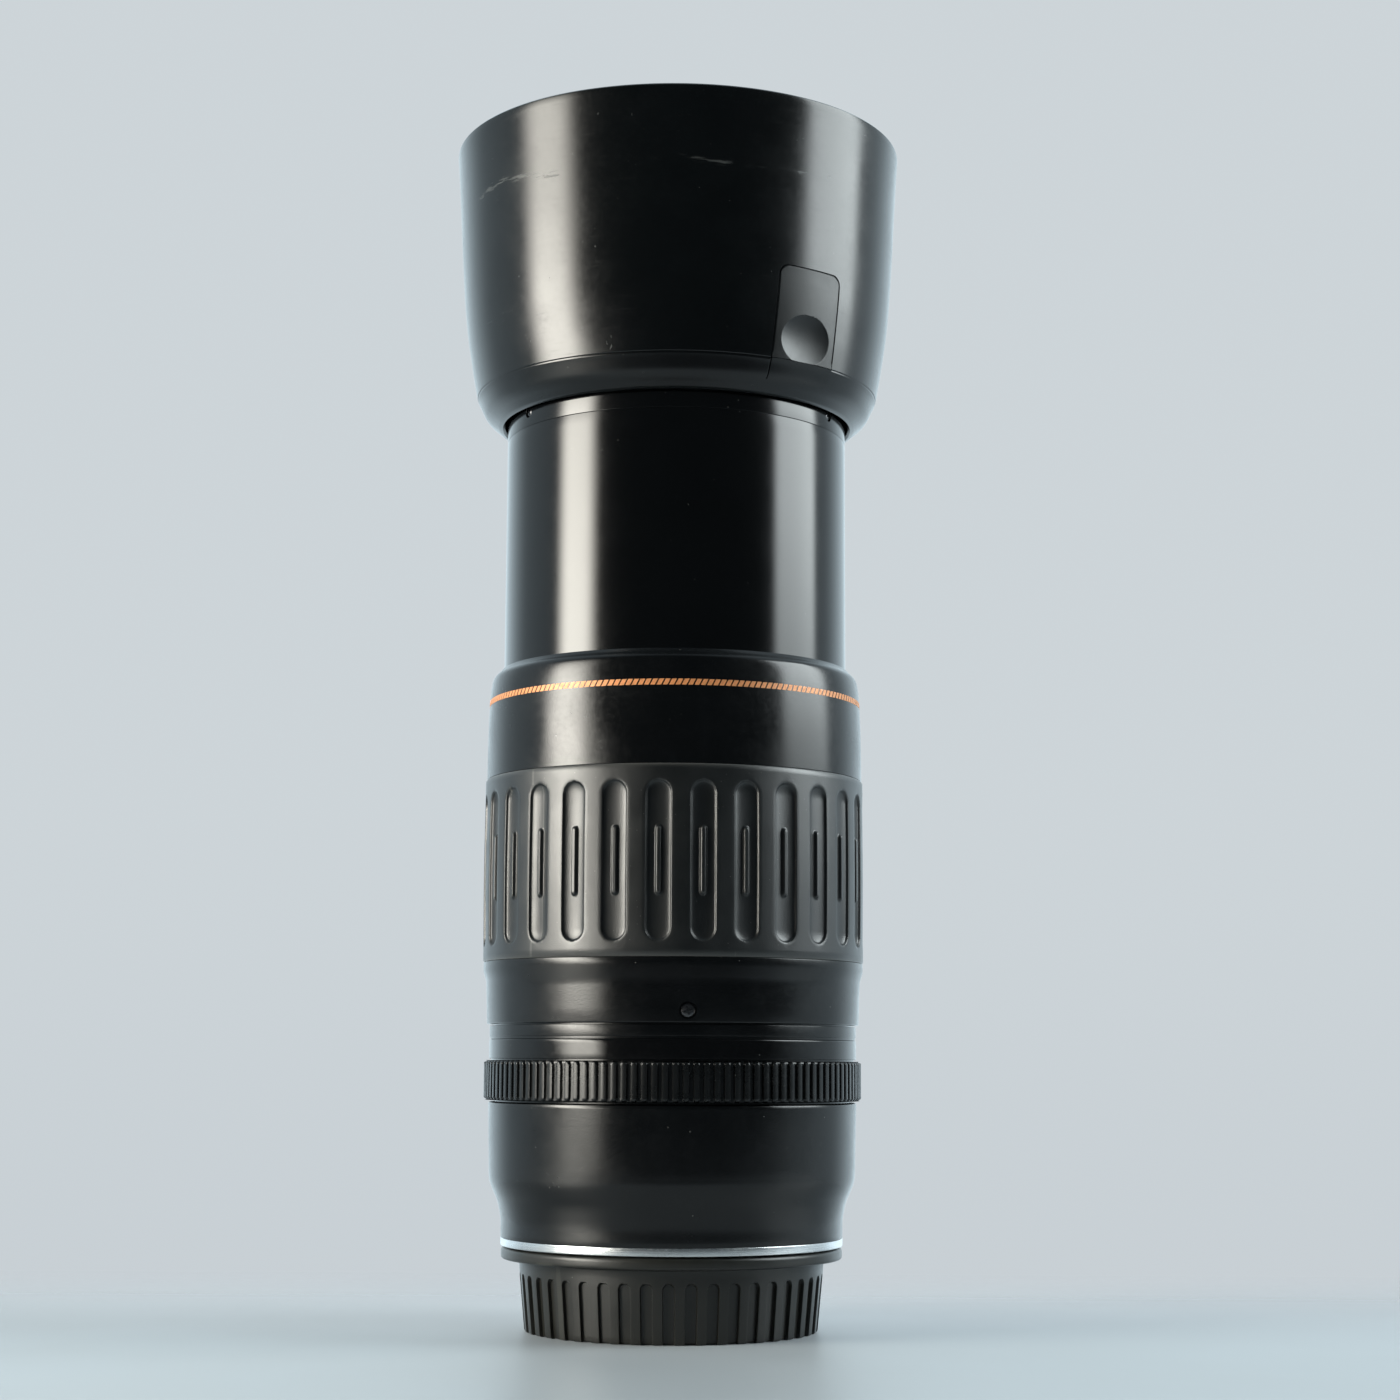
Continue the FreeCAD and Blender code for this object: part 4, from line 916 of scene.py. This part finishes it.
# ---- fixed rings -----------------------------------------
def spacer_ring_skin():
    inner = 33.0
    step = 34.9
    neck = 34.1
    shoulder = 41.0
    outline = rounded([(inner, SPACER_BASE), (step, SPACER_BASE), (step, 38.9), (SPACER_RADIUS, 38.95, 0.08),
                       (SPACER_RADIUS, shoulder, 0.12), (neck, shoulder), (neck, SPACER_NECK_TOP),
                       (inner, SPACER_NECK_TOP)])
    ring = lathe("spacer_ring_skin", outline, even_angles(), "barrel_black")
    place(ring, "lens_barrel", "barrel_black", "spacer_ring")


def index_ring_skin():
    """Gloss ring with a skirt that reaches into the top of the focus ring."""
    skirt = 34.6
    skirt_end = FOCUS_TOP - 0.25
    outline = rounded([(INDEX_INNER, skirt_end), (skirt, skirt_end), (skirt, INDEX_BASE),
                       (INDEX_RADIUS, INDEX_BASE, 0.12), (INDEX_RADIUS, INDEX_TOP, 0.3),
                       (INDEX_INNER, INDEX_TOP)], 6)
    ring = lathe("index_ring_skin", finer(outline, 0.6), even_angles(), "gloss_black")
    place(ring, "lens_barrel", "gloss_black", "index_ring")


def index_line():
    bar = curved_plate("index_line", "white_print", WINDOW_AZIMUTH, 0.28, INDEX_BASE + 0.5, INDEX_TOP - 0.6,
                       (0.1, 0.1), INDEX_RADIUS - 0.05, INDEX_RADIUS + 0.03, 8, 8)
    place(bar, "lens_barrel", "gloss_black")


def focus_ring_skin():
    """Ring of small upright pads with rounded corners."""
    depth = 0.5
    pad_low = FOCUS_BASE + 0.3
    pad_high = FOCUS_TOP - 0.28
    pad_half = 0.56
    corner = 0.42
    inner = NECK_OUTER + 0.1
    web = 31.0
    outline = [(inner, FOCUS_BASE), (FOCUS_RADIUS - 0.12, FOCUS_BASE), (FOCUS_RADIUS, FOCUS_BASE + 0.12),
               (FOCUS_RADIUS, FOCUS_TOP - 0.35), (FOCUS_RADIUS - 0.12, FOCUS_TOP - 0.08),
               (FOCUS_RADIUS - 0.35, FOCUS_TOP), (FOCUS_RADIUS - 0.6, FOCUS_TOP - 0.1),
               (INDEX_RADIUS - 0.2, FOCUS_TOP - 0.35), (web, FOCUS_TOP - 0.35), (web, NECK_TOP + 0.2),
               (inner, NECK_TOP + 0.2)]

    def step(z):
        return 0.11 if min(abs(z - pad_low), abs(z - pad_high)) < 0.65 else 0.9

    def relief(radius, height, azimuth):
        across = np.radians(off_centre(azimuth, FOCUS_COUNT, FOCUS_FIRST)) * FOCUS_RADIUS
        middle = (pad_low + pad_high) / 2
        side = np.maximum(np.abs(across) - pad_half + corner, 0)
        end = np.maximum(np.abs(height - middle) - (pad_high - pad_low) / 2 + corner, 0)
        far = np.hypot(side, end) - corner
        crown = 0.05 * (across / pad_half) ** 2
        return np.where(radius > FOCUS_RADIUS - 0.3, depth * step_up(-0.07, 0.08, far) + crown * (far < 0), 0)

    across = np.append(np.linspace(0.0, 0.36, 4), [0.44, 0.49, 0.53, 0.57, 0.61, 0.65, 0.78])
    angles = pitch_angles(FOCUS_COUNT, FOCUS_FIRST, across, FOCUS_RADIUS)
    ring = lathe("focus_ring_skin", finer(outline, step), angles, "focus_black", relief, 50.0)
    place(ring, "focus_grip", "cap_black", "focus_ring")


def rear_barrel_skin():
    bottom = BARREL_BASE
    inner = 31.2
    base_inner = 26.25
    curve = through([(FLANGE_RADIUS + 0.02, 2.4), (32.45, 4.7), (32.73, 6.5), (33.2, 8.4), (34.03, 10.3),
                     (34.67, 12.1), (34.83, 14.0)], 6)
    outline = [(base_inner, bottom), (FLANGE_RADIUS - 0.05, bottom), (FLANGE_RADIUS, bottom + 0.1)] + curve
    outline += [(BARREL_RADIUS, 26.4), (BARREL_RADIUS - 0.1, 26.6), (BARREL_RADIUS - 0.35, 26.75),
                (NECK_OUTER, 26.8), (NECK_OUTER, NECK_TOP), (NECK_INNER, NECK_TOP), (NECK_INNER, 11.6),
                (inner, 9.0), (inner, 5.0), (base_inner, 5.0)]
    barrel = lathe("rear_barrel_skin", finer(outline, 1.0), even_angles(), "barrel_black")
    window = curved_plate("window_hole", "barrel_black", WINDOW_AZIMUTH, 11.9, 15.2, 23.8, (1.2, 1.2),
                          31.0, 38.0, 40, 24)
    pocket = curved_plate("switch_hole", "barrel_black", SWITCH_AZIMUTH, 5.4, 14.0, 25.0, (1.2, 1.2),
                          34.3, 38.0, 30, 24)
    barrel = combine(barrel, [window, pocket], "DIFFERENCE")
    place(barrel, "lens_barrel", "barrel_black", "rear_barrel")


def window_pane():
    pane = curved_plate("window_pane", "window_clear", WINDOW_AZIMUTH, 11.75, 15.3, 23.7, (1.1, 1.1),
                        33.55, 34.95, 40, 16, softened(0.12, 0.3))
    place(pane, "lens_barrel", "window_clear", "distance_window")


def distance_drum():
    """Drum behind the window, with the focusing distances on it."""
    face = SCALE_RADIUS - 0.06
    inner = SCALE_RADIUS - 0.5
    outline = rounded([(inner, SCALE_BASE), (face, SCALE_BASE, 0.1), (face, SCALE_TOP, 0.05),
                       (inner, SCALE_TOP)])
    drum = lathe("distance_drum", finer(outline, 2.0), even_angles(240), "scale_black")
    place(drum, "focus_output", "scale_black", "distance_scale")
    for value, turn in (("1.5", -60.0), ("2", -49.0), ("3", -37.0), ("5", -24.0), ("10", -11.0), ("30", 2.0)):
        number = label("distance_" + value, value, 3.0, SCALE_RADIUS - 0.05, WINDOW_AZIMUTH + turn, 19.5)
        place(number, "focus_output", "scale_black")


def mode_switch_pieces():
    """Plate with a slot, a ridged knob and two dots that mark its places."""
    plate = curved_plate("switch_plate_skin", "barrel_black", SWITCH_AZIMUTH, 5.3, 14.1, 24.9, (1.1, 1.1),
                         34.35, 35.3, 36, 30, softened(0.18, 0.35))
    slot = curved_plate("slot", "barrel_black", SWITCH_AZIMUTH, 1.65, 16.6, 22.6, (0.5, 0.5),
                        33.5, 37.0, 16, 12)
    place(combine(plate, [slot], "DIFFERENCE"), "lens_barrel", "barrel_black", "switch_plate")

    def ridges(across, height, edge):
        lines = 0.16 * step_up(0.2, 0.8, np.cos((height - 18.1) * 2 * math.pi / 0.7)) * (edge > 0.25)
        return lines + softened(0.25, 0.3)(across, height, edge)

    knob = curved_plate("switch_knob_skin", "cap_black", SWITCH_AZIMUTH, 1.5, 16.7, 19.5, (0.4, 0.4),
                        34.4, 36.0, 24, 60, ridges)
    place(knob, "mode_switch", "cap_black", "switch_knob")
    for k, height in enumerate((17.0, 22.2)):
        dot = rod("switch_dot_%d" % k, "white_print", 0.35, at(SWITCH_AZIMUTH + 4.6, 34.9, height),
                  at(SWITCH_AZIMUTH + 4.6, 35.29, height), 20)
        place(dot, "lens_barrel", "barrel_black")


def mount_mark():
    """Raised round dot that shows where the mount lines up with the camera."""
    outline = [(0.0, 0.0), (1.0, 0.0), (1.0, 0.38), (0.93, 0.52), (0.72, 0.66), (0.4, 0.74), (0.0, 0.77)]
    dome = lathe("mount_mark", outline, even_angles(32), "red_print")
    centre = Vector(at(WINDOW_AZIMUTH, FLANGE_RADIUS - 0.35, 3.2)) * MM
    dome.data.transform(Matrix.Translation(centre) @ turned_to(at(WINDOW_AZIMUTH, 1.0, 0.0)))
    place(dome, "lens_barrel", "barrel_black")


def mount_flange_skin():
    throat = 23.6
    tube = 25.4
    hole_circle = 29.2
    outline = rounded([(throat, BAYONET_BASE, 0.15), (tube, BAYONET_BASE, 0.15), (tube, 0.0),
                       (FLANGE_RADIUS, 0.0, 0.22), (FLANGE_RADIUS, FLANGE_TOP, 0.12), (throat, FLANGE_TOP)])
    flange = lathe("mount_flange_skin", finer(outline, 1.0), even_angles(), "mount_metal")
    lugs = [curved_plate("lug", "mount_metal", azimuth, 12.4, -5.0, -3.4, (0.3, 0.3), 25.0, 26.9, 40, 8,
                         softened(0.15, 0.3)) for azimuth in (0, 120, 240)]
    flange = combine(flange, lugs, "UNION")
    tools = [rod("hole", "mount_metal", radius, at(azimuth, hole_circle, low), at(azimuth, hole_circle, high))
             for azimuth in (45, 135, 225, 315) for radius, low, high in ((1.75, -1, 0.95), (0.9, 0.9, 3.0))]
    flange = combine(flange, tools, "DIFFERENCE")
    place(flange, "lens_barrel", "mount_metal", "mount_flange")


# ---- rear cap --------------------------------------------
def rear_cap_skin():
    """Cap with a rounded rim, a tapering body with upright grooves, and claws inside."""
    groove_top = -5.1
    half_width = 1.1
    rim = rounded([(31.5, CAP_TOP, 0.1), (32.3, CAP_TOP - 0.25, 0.7), (32.3, -2.4, 0.6), (31.0, -2.42)], 6)
    body = [(29.3, -2.5), (28.95, -2.8), (28.8, -3.3), (28.66, -5.6), (27.72, CAP_BASE + 0.35),
            (27.62, CAP_BASE + 0.12), (27.4, CAP_BASE)]
    floor = CAP_BASE + 1.5
    outline = [(27.1, CAP_TOP)] + rim + body
    outline += [(0.0, CAP_BASE), (0.0, floor), (25.8, floor), (26.1, -6.5), (27.1, -6.5)]

    def step(z):
        return 0.10 if -6.5 < z < -4.6 else 0.8

    def relief(radius, height, azimuth):
        across = np.radians(off_centre(azimuth, CAP_COUNT, CAP_FIRST)) * CAP_GROOVE_RADIUS
        far = pill_distance(across, height, half_width, CAP_BASE - 5, groove_top)
        groove = 0.66 * (1 - step_up(-0.09, 0.03, far))
        return np.where((radius > 27.3) & (radius < 29.0) & (height < -3.0), groove, 0)

    across = np.append(np.linspace(0.0, 0.85, 8), [0.95, 1.02, 1.07, 1.12, 1.2, 1.4, 1.7])
    angles = pitch_angles(CAP_COUNT, CAP_FIRST, across, CAP_GROOVE_RADIUS)
    cap = lathe("rear_cap_skin", finer(outline, step), angles, "cap_black", relief)
    claws = [curved_plate("claw", "cap_black", azimuth, 9.3, -3.2, -1.7, (0.3, 0.3), 25.6, 27.4, 24, 8)
             for azimuth in (60, 180, 300)]
    place(combine(cap, claws, "UNION"), "rear_cap", "cap_black", "rear_cap")


# ---- build -----------------------------------------------
slot_of = {part["node"]: part["material_slot"] for part in frame["record"]["subparts"]}
for node_name, node_object in frame["nodes"].items():
    node_object.data.materials.clear()
    node_object.data.materials.append(MATERIAL[slot_of[node_name]])

hood_upper_shell()
hood_release("hood_button_right", BUTTON_AZIMUTH)
hood_release("hood_button_left", BUTTON_AZIMUTH + 180)
hood_lip_ring()
hood_inner_cone()
front_ring_skin()
front_tube_skin()
cross_screws("front_ring_screw_heads", "front_barrel", "front_ring_screws", FRONT_SCREW_AZIMUTH,
             FRONT_SCREW_HEIGHT, 0.92, 32.65, 33.15)
front_retainer()
front_glass()
zoom_ring_skin()
cross_screws("zoom_ring_screw_heads", "zoom_control", "zoom_ring_screws", ZOOM_SCREW_AZIMUTH,
             ZOOM_SCREW_HEIGHT, 1.38, 34.95, 35.5)
zoom_grip_skin()
gold_dashes()
focal_numbers()
spacer_ring_skin()
index_ring_skin()
index_line()
focus_ring_skin()
rear_barrel_skin()
window_pane()
distance_drum()
mode_switch_pieces()
mount_mark()
mount_flange_skin()
rear_cap_skin()


# ---- stage -----------------------------------------------
def softbox(name, azimuth, distance, low, high, half_width, colour, strength, fade_low, fade_high,
            full_share, foot_shift=0.0):
    """A tall light panel that faces the lens. Its light fades in over fade_low at its foot and fade_high at
    its head, and is full up to full_share of its half width. Its foot may sit foot_shift to one side."""
    n = Look(name)
    x, _, z = n.axes()
    middle = n.ramp(z, 0.19, 0.02, 0.0, foot_shift * MM)
    across = n.math("ABSOLUTE", n.math("SUBTRACT", x, middle))
    side = n.ramp(across, half_width * MM, half_width * full_share * MM)
    foot = n.ramp(z, low * MM, (low + fade_low) * MM)
    head = n.ramp(z, high * MM, (high - fade_high) * MM)
    share = n.times(n.times(side, foot), head)
    lamp = n.add("Emission", {"Color": (*colour, 1), "Strength": strength}).outputs[0]
    clear = n.add("BsdfTransparent", {}).outputs[0]
    both = n.add("MixShader", {0: share, 1: clear, 2: lamp}).outputs[0]
    n.put(n.tree.nodes["Material Output"].inputs[0], both)
    wide = (half_width + foot_shift) * MM
    corners = [(-wide, 0, low * MM), (wide, 0, low * MM), (wide, 0, high * MM), (-wide, 0, high * MM)]
    mesh = new_mesh(name, corners, [(0, 1, 2, 3)])
    mesh.materials.append(MATERIAL[name])
    panel = add_object(name, mesh)
    panel.location = Vector(at(azimuth, distance, 0)) * MM
    panel.rotation_euler = (0, 0, math.radians(azimuth))
    panel.visible_camera = False


def table_top():
    """Pale table that the lens stands on; its far edge is soft and close behind the lens. Its near part
    carries painted shade that shows only in reflections on the lens.
    """
    n = Look("table")
    cloud = n.noise(60.0, 3.0)
    tone = n.mix(n.ramp(cloud, 0.3, 0.7), (0.36, 0.39, 0.41), (0.39, 0.42, 0.44))
    depth = n.axes()[1]
    # painted shade: the near part of the table turns dark only in reflections on the lens, and stays pale to
    # the camera
    reflected = n.math("SUBTRACT", 1.0, n.add("LightPath", {}).outputs["Is Camera Ray"])
    tone = n.mix(n.times(n.ramp(depth, -0.11, -0.26), reflected), tone, (0.08, 0.085, 0.09))
    n.set(Base_Color=tone, Roughness=n.ramp(cloud, 0.3, 0.7, 0.42, 0.5),
          Normal=n.bump(n.noise(1.5, 3.0), 0.02), Alpha=n.ramp(depth, 0.150, -0.040))
    near = -1500.0
    back = 130.0
    drop = 60.0
    side = 1600.0
    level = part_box("rear_cap")[0].z / MM - 0.05
    run = [(near, level), (back, level)]
    run += [(back + drop * math.sin(t), level - drop * (1 - math.cos(t)))
            for t in np.linspace(0.15, 1.57, 10)]
    points = [(x * MM, y * MM, z * MM) for y, z in run for x in (-side, side)]
    faces = [(2 * k, 2 * k + 1, 2 * k + 3, 2 * k + 2) for k in range(len(run) - 1)]
    mesh = new_mesh("table_top", points, faces)
    mesh.shade_smooth()
    mesh.materials.append(MATERIAL["table"])
    add_object("table_top", mesh)


def surroundings():
    """Pale backdrop to the camera. As light it is pale behind and beside the lens, and dark in front."""
    world = bpy.data.worlds.new("studio")
    world.use_nodes = True
    world.node_tree.nodes.clear()
    bpy.context.scene.world = world
    n = Nodes(world.node_tree, "Generated")
    _, depth, height = n.axes()
    behind = n.ramp(depth, 0.45, 0.85, 0.06, 0.70)
    beside = n.times(n.ramp(depth, -0.5, 0.2), 0.62)
    power = n.plus(behind, beside)
    light = n.add("Background", {"Color": (0.80, 0.97, 1.06, 1), "Strength": power}).outputs[0]
    backdrop = n.mix(n.ramp(height, -0.12, 0.12), (0.575, 0.625, 0.66), (0.610, 0.660, 0.690))
    seen = n.add("Background", {"Color": backdrop, "Strength": 1.0}).outputs[0]
    camera_ray = n.add("LightPath", {}).outputs["Is Camera Ray"]
    n.add("OutputWorld", {0: n.add("MixShader", {0: camera_ray, 1: light, 2: seen}).outputs[0]})


def camera():
    position = Vector((4.91, -502.2, 34.65)) * MM
    tilt = math.radians(90 + 7.903)
    roll = math.radians(0.28)
    data = bpy.data.cameras.new("camera")
    data.lens = 66.73
    data.sensor_width = 36.0
    data.clip_start = 0.01
    holder = add_object("camera", data)
    holder.matrix_world = (Matrix.Translation(position) @ Matrix.Rotation(tilt, 4, "X")
                           @ Matrix.Rotation(roll, 4, "Z"))
    bpy.context.scene.camera = holder


softbox("light_left", azimuth=-67.5, distance=620, low=-25, high=620, half_width=200, strength=20.0,
        colour=(1.0, 0.97, 0.88), fade_low=120, fade_high=430, full_share=0.32, foot_shift=140)
softbox("light_right", azimuth=87.0, distance=640, low=80, high=800, half_width=250, strength=8.8,
        colour=(0.90, 0.985, 1.0), fade_low=230, fade_high=200, full_share=0.65)
table_top()
surroundings()
camera()
bpy.context.scene.view_settings.view_transform = "Standard"
